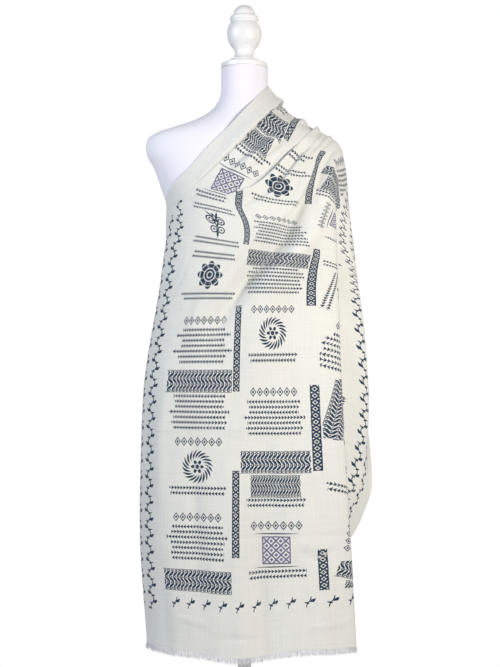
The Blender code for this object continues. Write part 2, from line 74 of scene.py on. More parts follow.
soft_light("key_light", (1.05, -1.44, 1.24), (0.03, 0.0, 0.92), 0.42, 26.0, (1.0, 0.944, 0.876))
soft_light("fill_light", (-1.95, -1.10, 1.70), (-0.05, 0.0, 1.05), 1.1, 31.0, (0.86, 0.918, 1.0))
soft_light("back_light", (0.4, 2.4, 2.4), (0.0, 0.0, 1.0), 1.8, 22.0, (1.0, 0.98, 0.95))

world = bpy.data.worlds.new("studio")
bpy.context.scene.world = world
world.use_nodes = True
sky = world.node_tree
around = sky.nodes["Background"]
around.inputs["Color"].default_value = (0.95, 0.97, 1.0, 1.0)
around.inputs["Strength"].default_value = 0.23
backdrop = sky.nodes.new("ShaderNodeBackground")
backdrop.inputs["Color"].default_value = (1.0, 1.0, 1.0, 1.0)
backdrop.inputs["Strength"].default_value = 1.0
seen = sky.nodes.new("ShaderNodeLightPath")
either = sky.nodes.new("ShaderNodeMixShader")
sky.links.new(seen.outputs["Is Camera Ray"], either.inputs[0])
sky.links.new(around.outputs[0], either.inputs[1])
sky.links.new(backdrop.outputs[0], either.inputs[2])
sky.links.new(either.outputs[0], sky.nodes["World Output"].inputs["Surface"])

FLOOR_RADIUS = 0.60
FLOOR_DROP = 0.0005
bpy.ops.mesh.primitive_circle_add(vertices=128, radius=FLOOR_RADIUS, fill_type="NGON")
floor = bpy.context.object
floor.name = "floor"
floor.location = (0.0, 0.0, -FLOOR_DROP)
pale = bpy.data.materials.new("pale_floor")
pale.use_nodes = True
pale.node_tree.nodes["Principled BSDF"].inputs["Base Color"].default_value = (0.86, 0.86, 0.86, 1.0)
pale.node_tree.nodes["Principled BSDF"].inputs["Roughness"].default_value = 0.9
floor.data.materials.append(pale)

# Dress form
# A light moulded body under a tight jersey cover, with no arms, legs or head. It is cut flat
# under the hips and at the top of the neck. The cover is white with a faint lavender cast.
FORM_BOTTOM = 0.630
NECK_TOP = 1.4345
FORM_SIDES = 144
FORM_STEP = 0.005
FORM_EDGE_HEIGHTS = (0.001, 0.0025)
FORM_COLUMNS = ("height", "bare_side", "covered_side", "front", "back")
FORM_SECTIONS = (
    (0.630, 0.155, 0.155, 0.086, 0.096),
    (0.640, 0.169, 0.169, 0.094, 0.104),
    (0.665, 0.179, 0.179, 0.099, 0.111),
    (0.720, 0.181, 0.181, 0.101, 0.114),
    (0.800, 0.165, 0.165, 0.098, 0.105),
    (0.880, 0.138, 0.138, 0.091, 0.090),
    (0.950, 0.126, 0.126, 0.088, 0.082),
    (1.020, 0.136, 0.136, 0.096, 0.087),
    (1.090, 0.152, 0.152, 0.112, 0.095),
    (1.138, 0.160, 0.159, 0.116, 0.098),
    (1.180, 0.1735, 0.172, 0.112, 0.098),
    (1.230, 0.1915, 0.188, 0.101, 0.0945),
    (1.252, 0.204, 0.193, 0.095, 0.091),
    (1.270, 0.2072, 0.185, 0.0895, 0.087),
    (1.2867, 0.2035, 0.167, 0.084, 0.0825),
    (1.300, 0.185, 0.148, 0.079, 0.078),
    (1.314, 0.142, 0.122, 0.073, 0.072),
    (1.3287, 0.100, 0.096, 0.067, 0.066),
    (1.342, 0.0767, 0.076, 0.062, 0.060),
    (1.356, 0.062, 0.062, 0.058, 0.056),
    (1.385, 0.0496, 0.0496, 0.053, 0.050),
    (NECK_TOP, 0.0488, 0.0488, 0.052, 0.048),
)


def column(rows, names, name):
    """One named column of a table as an array."""
    place = names.index(name)
    return np.array([row[place] for row in rows])


def smooth_slopes(knots, values):
    """Slopes of a smooth curve through the values that never overshoots them."""
    step = np.diff(knots)
    secant = np.diff(values, axis=0) / step[:, None]
    slopes = np.zeros_like(values)
    before, after = secant[:-1], secant[1:]
    weight_before = (2 * step[1:] + step[:-1])[:, None]
    weight_after = (step[1:] + 2 * step[:-1])[:, None]
    same_way = before * after > 0
    safe_before = np.where(same_way, before, 1.0)
    safe_after = np.where(same_way, after, 1.0)
    mean = (weight_before + weight_after) / (weight_before / safe_before + weight_after / safe_after)
    slopes[1:-1] = np.where(same_way, mean, 0.0)
    slopes[0] = secant[0]
    slopes[-1] = secant[-1]
    return slopes


def smooth_curve(knots, values, at):
    """Values of the smooth curve at the places asked for; past the ends it runs straight on."""
    knots = np.asarray(knots, float)
    values = np.asarray(values, float)
    slopes = smooth_slopes(knots, values)
    inside = np.clip(at, knots[0], knots[-1])
    cell = np.clip(np.searchsorted(knots, inside, side="right") - 1, 0, len(knots) - 2)
    step = (knots[cell + 1] - knots[cell])[:, None]
    part = (inside - knots[cell])[:, None] / step
    low, high = values[cell], values[cell + 1]
    rise_low, rise_high = slopes[cell] * step, slopes[cell + 1] * step
    curve = (
        low * (1 + 2 * part) * (1 - part) ** 2
        + rise_low * part * (1 - part) ** 2
        + high * part ** 2 * (3 - 2 * part)
        + rise_high * part ** 2 * (part - 1)
    )
    beyond = (np.asarray(at) - inside)[:, None]
    end_slope = np.where(beyond < 0, slopes[0], slopes[-1])
    return curve + beyond * end_slope


FORM_HEIGHTS = column(FORM_SECTIONS, FORM_COLUMNS, "height")
FORM_SIZES = np.array([row[1:] for row in FORM_SECTIONS])


def form_size(heights):
    """How far the form reaches to its bare side, its covered side, the front and the back."""
    inside = np.clip(heights, FORM_HEIGHTS[0], FORM_HEIGHTS[-1])
    return smooth_curve(FORM_HEIGHTS, FORM_SIZES, inside).T


def new_piece(name, points, faces, materials, face_materials=None, sharp=40):
    """A mesh object in the object's own frame, shaded smooth over its gentle bends."""
    mesh = bpy.data.meshes.new(name)
    mesh.from_pydata([tuple(point) for point in points], [], faces)
    for material in materials:
        mesh.materials.append(material)
    if face_materials is not None:
        mesh.polygons.foreach_set("material_index", face_materials)
    mesh.shade_smooth()
    mesh.set_sharp_from_angle(angle=math.radians(sharp))
    mesh.update()
    piece = bpy.data.objects.new(name, mesh)
    bpy.context.scene.collection.objects.link(piece)
    return piece


def ring_faces(rows, columns):
    """Quads between closed rings of points stored ring by ring, from the lowest up."""
    faces = []
    for row in range(rows - 1):
        for place in range(columns):
            beside = (place + 1) % columns
            low, high = row * columns, (row + 1) * columns
            faces.append((low + place, low + beside, high + beside, high + place))
    return faces


def between_two(operation, swapped=False):
    """A method that joins a value and another in a Math node; swapped puts the other first."""
    if swapped:
        return lambda value, other: value.math(operation, other, value)
    return lambda value, other: value.math(operation, value, other)


class Value:
    """A socket in a material's tree; a sum or product written with it becomes a Math node."""

    def __init__(self, tree, socket=None):
        self.tree = tree
        self.socket = socket

    def node(self, kind, settings=None, sockets=None, output=0):
        """A node of this kind: its settings come first, then its sockets' values or links."""
        made = self.tree.nodes.new(kind)
        for name, setting in (settings or {}).items():
            setattr(made, name, setting)
        for name, value in (sockets or {}).items():
            if isinstance(value, Value):
                self.tree.links.new(value.socket, made.inputs[name])
            else:
                made.inputs[name].default_value = value
        return Value(self.tree, made.outputs[output])

    def math(self, operation, *values):
        return self.node("ShaderNodeMath", {"operation": operation}, dict(enumerate(values)))

    def applied(self, operation, *values):
        return self.math(operation, self, *values)

    def __abs__(self):
        return self.math("ABSOLUTE", self)

    __add__ = between_two("ADD")
    __radd__ = between_two("ADD", swapped=True)
    __sub__ = between_two("SUBTRACT")
    __rsub__ = between_two("SUBTRACT", swapped=True)
    __mul__ = between_two("MULTIPLY")
    __truediv__ = between_two("DIVIDE")
    __lt__ = between_two("LESS_THAN")
    __gt__ = between_two("GREATER_THAN")
    most = between_two("MAXIMUM")
    least = between_two("MINIMUM")

    def wrapped(self, pitch):
        """How far the value is from the middle of its own repeat."""
        return self.math("WRAP", self, pitch / 2, -pitch / 2)

    def counted(self, pitch):
        """Which repeat the value is in."""
        return (self / pitch + 0.5).applied("FLOOR")

    def mixed(self, first, second):
        """A colour that goes from the first to the second as this value goes from 0 to 1."""
        return self.node("ShaderNodeMix", {"data_type": "RGBA"}, {0: self, 6: first, 7: second}, 2)

    def bumped(self, distance, strength=1.0):
        """A normal for a surface raised by this value."""
        sockets = {"Height": self, "Distance": distance, "Strength": strength}
        return self.node("ShaderNodeBump", None, sockets)


def rgb(red, green, blue):
    """A colour socket's value."""
    return (red, green, blue, 1.0)


def new_finish(name, **settings):
    """A Principled material with plain values on its sockets, and the way into its tree."""
    material = bpy.data.materials.new(name)
    material.use_nodes = True
    shader = material.node_tree.nodes["Principled BSDF"]
    for socket, value in settings.items():
        shader.inputs[socket.replace("_", " ")].default_value = value
    return material, Value(material.node_tree)


def feed(material, socket, value):
    """Links a value to a socket of the material's shader."""
    shader = material.node_tree.nodes["Principled BSDF"]
    material.node_tree.links.new(value.socket, shader.inputs[socket])


def noise(start, vector, scale, detail):
    """Soft noise from 0 to 1 over a place."""
    return start.node("ShaderNodeTexNoise", None, {"Vector": vector, "Scale": scale, "Detail": detail})


def object_place(start):
    """The place in the object's own coordinates."""
    return start.node("ShaderNodeTexCoord", None, None, 3)


jersey, start = new_finish(
    "jersey_cover", Roughness=0.86, Sheen_Weight=0.25, Sheen_Roughness=0.5, Specular_IOR_Level=0.25
)
place = object_place(start)
grain = noise(start, place, 900.0, 3.0)
mottle = noise(start, place, 14.0, 2.0)
cover_white = rgb(0.93, 0.915, 0.985)
cover_shade = rgb(0.90, 0.885, 0.975)
feed(jersey, "Base Color", (mottle * 0.7 + grain * 0.3).mixed(cover_shade, cover_white))
feed(jersey, "Normal", grain.bumped(0.0004, 0.35))

form_heights = np.arange(FORM_BOTTOM, NECK_TOP + FORM_STEP / 2, FORM_STEP)
form_heights[-1] = NECK_TOP
form_heights = np.unique([*form_heights, *(FORM_BOTTOM + height for height in FORM_EDGE_HEIGHTS)])
bare, covered, front, back = form_size(form_heights)
turn = np.arange(FORM_SIDES) * math.tau / FORM_SIDES
form_points = []
for row, height in enumerate(form_heights):
    width = np.where(np.cos(turn) < 0, bare[row], covered[row])
    depth = np.where(np.sin(turn) < 0, front[row], back[row])
    ring = np.stack([width * np.cos(turn), depth * np.sin(turn), np.full(FORM_SIDES, height)], axis=1)
    form_points.extend(ring)
form_faces = ring_faces(len(form_heights), FORM_SIDES)
form_faces.append(tuple(reversed(range(FORM_SIDES))))
last_ring = (len(form_heights) - 1) * FORM_SIDES
form_faces.append(tuple(range(last_ring, last_ring + FORM_SIDES)))
form_cover = new_piece("form_cover", form_points, form_faces, [jersey])
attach(form_cover, "root")
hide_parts("form_body")

# Neck cap
# A flat turned disc of painted wood that closes the neck. Its rim is a little rounded above, and a
# shallow recess parts it from the neck's cover below.
CAP_RADIUS = 0.0487
CAP_HEIGHT = 0.0115
CAP_LIP = 0.0018
CAP_EDGE = 0.0006
CAP_RECESS_HEIGHT = 0.0016
CAP_RECESS_DEPTH = 0.0034
SEAM_GAP = 0.0003
TURNED_SIDES = 112


def arc(middle, half_width, half_height, start_angle, end_angle, cells):
    """Profile points on an oval arc; angles in degrees, 90 at the top and 0 at the outer side."""
    angles = np.radians(np.linspace(start_angle, end_angle, cells + 1))
    return [
        (middle[0] + half_width * math.cos(angle), middle[1] + half_height * math.sin(angle))
        for angle in angles
    ]


def turned(name, profile, material, sides=TURNED_SIDES):
    """A turned piece: its outer profile, top to bottom, spun about the Z axis and closed at both poles."""
    top, *middle, bottom = profile
    angles = np.arange(sides) * math.tau / sides
    points = [
        (radius * math.cos(angle), radius * math.sin(angle), height)
        for radius, height in reversed(middle)
        for angle in angles
    ]
    faces = ring_faces(len(middle), sides)
    count = len(middle) * sides
    points += [(0.0, 0.0, bottom[1]), (0.0, 0.0, top[1])]
    for place in range(sides):
        beside = (place + 1) % sides
        faces.append((beside, place, count))
        faces.append((count - sides + place, count - sides + beside, count + 1))
    return new_piece(name, points, faces, [material], sharp=32)


paint, start = new_finish("white_satin_paint", Roughness=0.34, Coat_Weight=0.15, Coat_Roughness=0.3)
place = object_place(start)
brushed = noise(start, place, 60.0, 3.0)
feed(paint, "Base Color", brushed.mixed(rgb(0.90, 0.905, 0.92), rgb(0.93, 0.93, 0.935)))
feed(paint, "Roughness", 0.30 + brushed * 0.12)
feed(paint, "Normal", brushed.bumped(0.0003, 0.25))

cap_bottom = NECK_TOP + SEAM_GAP
cap_top = cap_bottom + CAP_HEIGHT
rim_bottom = cap_bottom + CAP_RECESS_HEIGHT
recess_radius = CAP_RADIUS - CAP_RECESS_DEPTH
neck_disc = turned("neck_disc", [
    (0.0, cap_top),
    *arc((CAP_RADIUS - CAP_LIP, cap_top - CAP_LIP), CAP_LIP, CAP_LIP, 90, 0, 8),
    *arc((CAP_RADIUS - CAP_EDGE, rim_bottom + CAP_EDGE), CAP_EDGE, CAP_EDGE, 0, -90, 4),
    (recess_radius, rim_bottom),
    (recess_radius, cap_bottom),
    (0.0, cap_bottom),
], paint)
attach(neck_disc, "root")
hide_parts("neck_cap")

# Finial
# One piece of turned wood, painted white: a stepped foot that flares from a waist, a vase, a bead
# and a dome. The vase is widest above its middle and runs down into the waist in one sweep.
FOOT_RADIUS = 0.0347
FOOT_EDGE = 0.0026
FOOT_STEP_RADIUS = 0.0304
FOOT_STEP_HEIGHT = 0.0082
WAIST_RADIUS = 0.0205
WAIST_MIDDLE = 0.0217
WAIST_HOLLOW = 0.0115
WAIST_HALF_HEIGHT = 0.0130
VASE_RADIUS = 0.0367
VASE_MIDDLE = 0.0631
VASE_RISE = 0.0374
VASE_DROP = 0.0407
BEAD_RADIUS = 0.0305
BEAD_BOTTOM = 0.0862
BEAD_HEIGHT = 0.0150
BEAD_ROUND = 0.0050
BEAD_GROOVE = 0.0262
DOME_RADIUS = 0.0238
DOME_HEIGHT = 0.0217
SOFTENED = 0.0008
foot_bottom = cap_top + SEAM_GAP
waist = (WAIST_RADIUS + WAIST_HOLLOW, foot_bottom + WAIST_MIDDLE)
vase = (0.0, foot_bottom + VASE_MIDDLE)
bead_bottom = foot_bottom + BEAD_BOTTOM
bead = (BEAD_RADIUS - BEAD_ROUND, bead_bottom + BEAD_HEIGHT / 2)
dome = (0.0, bead_bottom + BEAD_HEIGHT)
foot_edge = (FOOT_RADIUS - SOFTENED, foot_bottom + FOOT_EDGE - SOFTENED)
turned_finial = turned("turned_finial", [
    *arc(dome, DOME_RADIUS, DOME_HEIGHT, 90, 0, 20),
    (DOME_RADIUS, dome[1] - SOFTENED),
    *arc(bead, BEAD_ROUND, BEAD_HEIGHT / 2 - SOFTENED, 75, -75, 16),
    (BEAD_GROOVE, bead_bottom),
    *arc(vase, VASE_RADIUS, VASE_RISE, 36, 0, 14),
    *arc(vase, VASE_RADIUS, VASE_DROP, -2, -48, 20),
    *arc(waist, WAIST_HOLLOW, WAIST_HALF_HEIGHT, 132, 250, 26),
    (FOOT_STEP_RADIUS, foot_bottom + FOOT_STEP_HEIGHT),
    (FOOT_STEP_RADIUS + 2 * SOFTENED, foot_bottom + FOOT_EDGE + 2 * SOFTENED),
    *arc(foot_edge, SOFTENED, SOFTENED, 90, 0, 4),
    (FOOT_RADIUS, foot_bottom + SOFTENED),
    (FOOT_RADIUS - SOFTENED, foot_bottom),
    (0.0, foot_bottom),
], paint)
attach(turned_finial, "root")
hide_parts("finial")

# Stand
# A steel pole with a flange that carries the form, in a flat round steel base, both powder coated
# white. The photograph ends above them, so they are a plain stand of the usual kind.
BASE_RADIUS = 0.165
BASE_THICKNESS = 0.010
BASE_EDGE = 0.004
BASE_CHAMFER = 0.0015
BOSS_RADIUS = 0.024
BOSS_HEIGHT = 0.034
BOSS_ROUND = 0.003
BOSS_FOOT = 0.006
CORNER_SHARE = 0.3
POLE_RADIUS = 0.0140
FLANGE_RADIUS = 0.034
FLANGE_HEIGHT = 0.008
FLANGE_EDGE = 0.001
COLLAR_WIDTH = 0.004
COLLAR_TOP = 0.003
COLLAR_HEIGHT = 0.010
powder_coat, start = new_finish("powder_coat", Base_Color=rgb(0.95, 0.95, 0.955), Roughness=0.42)
place = object_place(start)
feed(powder_coat, "Normal", noise(start, place, 1400.0, 2.0).bumped(0.0003, 0.3))

round_cut = BOSS_ROUND * CORNER_SHARE
foot_cut = BOSS_FOOT * CORNER_SHARE
round_base = turned("round_base", [
    (0.0, BOSS_HEIGHT),
    (BOSS_RADIUS - BOSS_ROUND, BOSS_HEIGHT),
    (BOSS_RADIUS - round_cut, BOSS_HEIGHT - round_cut),
    (BOSS_RADIUS, BOSS_HEIGHT - BOSS_ROUND),
    (BOSS_RADIUS, BASE_THICKNESS + BOSS_FOOT),
    (BOSS_RADIUS + foot_cut, BASE_THICKNESS + foot_cut),
    (BOSS_RADIUS + BOSS_FOOT, BASE_THICKNESS),
    *arc((BASE_RADIUS - BASE_EDGE, BASE_THICKNESS - BASE_EDGE), BASE_EDGE, BASE_EDGE, 90, 0, 8),
    (BASE_RADIUS, BASE_CHAMFER),
    (BASE_RADIUS - BASE_CHAMFER, 0.0),
    (0.0, 0.0),
], powder_coat, sides=160)
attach(round_base, "root")
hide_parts("stand_base")

flange_top = FORM_BOTTOM - SEAM_GAP
flange_bottom = flange_top - FLANGE_HEIGHT
pole_bottom = BOSS_HEIGHT + SEAM_GAP
round_pole = turned("round_pole", [
    (0.0, flange_top),
    (FLANGE_RADIUS - FLANGE_EDGE, flange_top),
    (FLANGE_RADIUS, flange_top - FLANGE_EDGE),
    (FLANGE_RADIUS, flange_bottom),
    (POLE_RADIUS + COLLAR_WIDTH, flange_bottom - COLLAR_TOP),
    (POLE_RADIUS, flange_bottom - COLLAR_HEIGHT),
    (POLE_RADIUS, pole_bottom),
    (0.0, pole_bottom),
], powder_coat, sides=64)
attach(round_pole, "root")
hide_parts("stand_pole")

# Shawl
# One thin plain-woven cloth, cut 0.70 m wide and 1.80 m long, and printed in dark blue and grey-lilac.
# It lies over the form's left shoulder, gathered there, and falls open in front and behind.
CLOTH_WIDTH = 0.70
CLOTH_LENGTH = 1.80
CLOTH_WALL = 0.0008
CREST_ALONG = 1.27
FORM_CLEARANCE = 0.0020
SEAT_CLEARANCE = 0.0010
SEAT_REACH = 0.035

# Paths of the cloth's lengthwise lines, from the front hem over the shoulder to the back hem: each has
# its name, its place across the cloth and its points. These tables are in millimetres.
MM = 0.001
RAIL_COLUMNS = ("along", "x", "y", "z")
RAILS = (
    ("chest_edge", 0, (
        (0, -190, 12, 244),
        (250, -203, 8, 490),
        (500, -197, 12, 740),
        (720, -167, 18, 957),
        (900, -163, -12, 1137),
        (1030, -98, -86, 1230),
        (1150, -15, -78, 1320),
        (1270, 50, -4, 1398),
        (1380, 35, 68, 1350),
        (1560, -37, 106, 1190),
        (1800, -98, 130, 960),
    )),
    ("left_turn", 45, (
        (0, -202.3, -30, 244),
        (250, -216.9, -30, 490),
        (500, -210.6, -28, 740),
        (720, -179, -25, 957),
        (900, -147, -60, 1122),
        (1030, -68, -101, 1200),
        (1150, 12, -89, 1288),
        (1270, 73, -3, 1364),
        (1380, 58, 77, 1325),
        (1560, -17, 113, 1170),
        (1800, -80, 136, 935),
    )),
    ("chest", 140, (
        (0, -130, -112, 244),
        (250, -140, -112, 490),
        (500, -135, -112, 740),
        (720, -112, -108, 957),
        (900, -75, -119, 1105),
        (1030, 0, -119, 1170),
        (1150, 58, -98, 1250),
        (1270, 120, 0, 1323.5),
        (1380, 95, 84, 1300),
        (1560, 25, 122, 1140),
        (1800, -45, 144, 885),
    )),
    ("middle", 280, (
        (0, 0, -137, 235),
        (250, -5, -132, 490),
        (500, -5, -130, 740),
        (720, 0, -126, 957),
        (900, 20, -128, 1085),
        (1030, 70, -118, 1150),
        (1150, 110, -94, 1225.5),
        (1270, 166, 0, 1298.5),
        (1380, 140, 80, 1278),
        (1560, 75, 124, 1100),
        (1800, 10, 148, 810),
    )),
    ("front_right", 410, (
        (0, 135, -122, 248),
        (250, 125, -118, 490),
        (500, 115, -117, 740),
        (720, 108, -115, 957),
        (900, 130, -108, 1072),
        (1030, 145, -93, 1145),
        (1150, 160, -71, 1222),
        (1270, 195.5, 0, 1280),
        (1380, 180, 66, 1250),
        (1560, 122, 122, 1050),
        (1800, 70, 146, 725),
    )),
    ("ridge", 490, (
        (0, 228, -78, 244),
        (250, 215, -80, 490),
        (500, 200, -82, 740),
        (720, 191.5, -80, 957),
        (900, 188, -75, 1063),
        (1030, 187, -65, 1135),
        (1150, 190, -50, 1200),
        (1270, 208.5, 4, 1246),
        (1380, 197, 60, 1211),
        (1560, 153, 118, 1015),
        (1800, 110, 142, 655),
    )),
    ("valley", 545, (
        (0, 190, -42, 244),
        (140, 172, -42, 380),
        (250, 155, -45, 490),
        (330, 158, -46, 570),
        (420, 174, -46, 660),
        (500, 181, -45, 740),
        (600, 170, -45, 838),
        (720, 155, -45, 957),
        (900, 165, -40, 1053),
        (1030, 178, -36, 1115),
        (1150, 197, -26, 1168),
        (1270, 216.5, 18, 1203),
        (1380, 203, 64, 1172),
        (1560, 170, 114, 985),
        (1800, 135, 138, 600),
    )),
    ("side", 630, (
        (0, 115, -35, 242),
        (140, 160, -20, 380),
        (250, 205, -12, 490),
        (330, 243, 0, 570),
        (500, 260, 2, 740),
        (720, 243.5, 0, 957),
        (900, 234, 0, 1025),
        (1030, 228, 2, 1075),
        (1150, 222.5, 10, 1118),
        (1270, 220, 40, 1154),
        (1380, 210, 70, 1118),
        (1560, 191, 106, 930),
        (1800, 175, 122, 520),
    )),
    ("far_edge", 700, (
        (0, 50, -32, 238),
        (140, 165, -2, 375),
        (250, 246, 15, 488),
        (330, 269.6, 22, 566),
        (500, 256, 44, 738),
        (720, 234, 46, 950),
        (900, 229, 40, 1000),
        (1030, 225, 38, 1040),
        (1150, 220, 42, 1075),
        (1270, 216.5, 53, 1100),
        (1380, 213, 68, 1060),
        (1560, 213, 83, 870),
        (1800, 208, 95, 450),
    )),
)

# Broad folds: a soft ridge, or a trough where the height is below 0, from one point to another
FOLD_COLUMNS = ("from_along", "from_across", "to_along", "to_across", "half_width", "height")
FOLDS = (
    (1500, 205, 950, 70, 19, 11),
    (1460, 262, 960, 135, 17, -5),
    (1500, 335, 1020, 345, 20, 9),
    (1500, 400, 920, 300, 20, -6),
    (1450, 470, 1000, 440, 18, 6),
    (1480, 80, 1120, 55, 16, 8),
    (1200, 400, 760, 330, 26, -14),
    (980, 400, 560, 190, 26, -19),
    (1020, 455, 500, 265, 32, 12),
    (660, 110, -500, 150, 35, 6),
    (580, 330, -500, 350, 40, -7),
    (460, 235, -400, 245, 30, 5),
)

# Hanging folds behind, which open from the shoulder crest down, with their height at the back hem
HANGING_COLUMNS = ("across", "half_width", "height")
HANGING_FOLDS = (
    (75, 34, 28),
    (205, 38, 34),
    (345, 36, 32),
    (480, 34, 30),
    (600, 30, 24),
)
HANGING_TROUGH = 0.012

# Creases, each along a path of (along, across) points: how wide it is on its near and its far side
# of the path, counted from the chest edge, and its height
CREASE_COLUMNS = ("near_width", "far_width", "height", "path")
CREASES = (
    # the gathered shoulder: the turned-over margin, the lap beside it and the pulls below them
    (24, 1.8, 8, ((1500, 52), (1270, 50), (1200, 45), (1120, 40), (1000, 34), (930, 40))),
    (2.4, 3, -9.5, ((1460, 56), (1270, 53.5), (1200, 48.5), (1120, 43.5), (1000, 37.5), (950, 40))),
    (3, 28, -9, ((1460, 60), (1270, 57.5), (1200, 53), (1120, 48), (1030, 44))),
    (3.5, 30, 8, ((1400, 216), (1270, 214), (1200, 212), (1130, 200), (1090, 184), (1040, 156),
     (1000, 100), (970, 60))),
    (12, 3.5, -5, ((1260, 206), (1200, 202), (1130, 191), (1090, 175), (1040, 147), (1000, 92))),
    (15, 18, 18, ((1315, 226), (1270, 228), (1225, 226))),
    (9, 14, 5, ((1240, 110), (1120, 98), (1040, 72))),
    (8, 10, -4.5, ((1270, 150), (1160, 142), (1080, 112))),
    (8, 12, 5.2, ((1300, 290), (1180, 285), (1080, 262), (980, 205))),
    (7, 10, -4.5, ((1250, 262), (1140, 256), (1040, 225), (950, 170))),
    (10, 8, 5.8, ((1220, 372), (1100, 362), (980, 330), (880, 280), (800, 235))),
    (9, 12, -5, ((1240, 432), (1120, 418), (1000, 398), (900, 380), (830, 350))),
    (12, 9, 5.5, ((1180, 452), (1040, 440), (920, 425), (800, 395))),
    # the long diagonal below the bust, with the small pulls that run beside it
    (16, 7, -8, ((1080, 374), (890, 366), (825, 342), (780, 314), (710, 262), (600, 190))),
    (9, 30, 13, ((1080, 394), (890, 388), (825, 366), (780, 338), (710, 286), (580, 200))),
    (11, 8, -4, ((800, 300), (720, 240), (640, 195))),
    (10, 12, 4.5, ((860, 255), (760, 200), (680, 165), (600, 150))),
    (12, 11, -3.4, ((640, 300), (550, 268), (460, 258))),
    (14, 11, 3.4, ((580, 120), (440, 108), (280, 112))),
    # the soft hang of the front, with the marks of earlier folding
    (15, 20, 6, ((560, 350), (340, 366), (160, 382))),
    (20, 15, -6, ((480, 178), (260, 186), (80, 196))),
    (18, 15, 7, ((380, 262), (160, 272), (-60, 282))),
    (15, 17, -7, ((300, 318), (120, 322), (-80, 330))),
    (14, 17, 6, ((300, 412), (100, 424), (-80, 430))),
    (14, 12, -3, ((200, 108), (80, 112), (-80, 116))),
    (30, 30, -6, ((-300, 136), (300, 134), (920, 132))),
    (4, 4, 1.6, ((452, -80), (448, 200), (452, 560))),
    (4, 4, -1.4, ((232, -80), (230, 220), (235, 600))),
    (4, 5, 3.4, ((260, 392), (215, 405), (200, 440))),
    (5, 4, -3.4, ((200, 402), (185, 425), (212, 452))),
    (4, 5, 3.2, ((70, 130), (62, 175), (58, 215))),
    (5, 4, -3, ((30, 210), (38, 260), (34, 315))),
    (4, 5, 3, ((45, 400), (50, 440), (62, 475))),
    # the side layer and the stretch behind, creased like the front
    (9, 12, 3, ((1120, 560), (920, 580), (740, 600))),
    (10, 8, -2.8, ((1060, 610), (860, 625), (660, 640))),
    (11, 13, 3, ((660, 605), (500, 612), (360, 640))),
    (12, 10, -2.6, ((580, 660), (420, 665), (300, 678))),
    (8, 11, 3.5, ((1300, 118), (1420, 112), (1580, 108))),
    (11, 8, -3.5, ((1300, 160), (1440, 152), (1620, 146))),
    (9, 13, 4, ((1280, 262), (1420, 258), (1600, 256))),
    (10, 8, -3.8, ((1290, 305), (1440, 300), (1660, 296))),
    (8, 12, 3.5, ((1280, 395), (1440, 398), (1620, 402))),
    (11, 8, -3.5, ((1280, 435), (1460, 440), (1660, 442))),
    (9, 11, 3.2, ((1280, 520), (1440, 530), (1620, 540))),
    (9, 12, -3, ((1300, 566), (1460, 570), (1660, 568))),
    (10, 13, 3, ((1460, 655), (1600, 660), (1740, 662))),
    (12, 10, 2.6, ((1560, 35), (1660, 30), (1840, 28))),
    (3.4, 3.4, 1, ((1545, 20), (1552, 300), (1546, 660))),
)
CREASE_TAPER = 0.7
HANGING_TAPER = 0.8

# Small creases of a cloth that has been folded and worn, strewn over the whole of it, in metres: the
# ranges of their half length, width and height, how far they bow, and how they slant
SMALL_CREASES = 90
SMALL_REACH = (0.025, 0.065)
SMALL_WIDTH = (0.0034, 0.0085)
SMALL_HEIGHT = (0.0005, 0.0012)
SMALL_BOW = 0.008
HEM_MARGIN = 0.02
EDGE_MARGIN = 0.03
FRONT_SLANT = 0.35
BACK_SLANT = -0.2
SLANT_SPREAD = 0.5
FAR_WIDTH_SHARE = (0.7, 1.4)
creases = [
    (near * MM, far * MM, height * MM, [(along * MM, across * MM) for along, across in path])
    for near, far, height, path in CREASES
]
strewn = np.random.default_rng(21)
for _ in range(SMALL_CREASES):
    at_along = strewn.uniform(HEM_MARGIN, CLOTH_LENGTH - HEM_MARGIN)
    at_across = strewn.uniform(EDGE_MARGIN, CLOTH_WIDTH - EDGE_MARGIN)
    slant = strewn.normal(FRONT_SLANT if at_along < CREST_ALONG else BACK_SLANT, SLANT_SPREAD)
    reach = strewn.uniform(*SMALL_REACH)
    width = strewn.uniform(*SMALL_WIDTH)
    rise = strewn.choice([-1.0, 1.0]) * strewn.uniform(*SMALL_HEIGHT)
    step_along, step_across = reach * math.cos(slant), reach * math.sin(slant)
    bow = strewn.uniform(-SMALL_BOW, SMALL_BOW)
    creases.append((width, width * strewn.uniform(*FAR_WIDTH_SHARE), rise, [
        (at_along + step_along, at_across + step_across),
        (at_along, at_across + bow),
        (at_along - step_along, at_across - step_across),
    ]))

# How the cloth keeps off the form and what its folds keep of their height
CLEAR_ROUNDS = 6
CLEAR_NUDGE = 0.0005
CLEAR_MOST = 0.02
LIFTED_SHARE = 0.35
CALM_REACH = 0.055
CALM_FROM = 0.11
CALM_RUN = 0.09
CALM_SHARE = 0.68


def form_level(points):
    """Below 0 inside the form's oval section, above 0 outside it."""
    bare_reach, covered_reach, front_reach, back_reach = form_size(points[:, 2])
    width = np.where(points[:, 0] < 0, bare_reach, covered_reach)
    depth = np.where(points[:, 1] < 0, front_reach, back_reach)
    return np.hypot(points[:, 0] / width, points[:, 1] / depth) - 1


def clear_of_form(points, clearance):
    """Points nearer to the form than their clearance, moved straight out of it."""
    points = points.copy()
    lowest = FORM_BOTTOM - CLEAR_MOST
    for _ in range(CLEAR_ROUNDS):
        level = form_level(points)
        slope = np.stack([
            (form_level(points + nudge) - form_level(points - nudge)) / (2 * CLEAR_NUDGE)
            for nudge in CLEAR_NUDGE * np.eye(3)
        ], axis=1)
        steepness = np.linalg.norm(slope, axis=1)
        short = clearance - level / steepness
        short = np.where(points[:, 2] < lowest, 0.0, np.clip(short, 0.0, CLEAR_MOST))
        points += slope / steepness[:, None] * short[:, None]
    return points


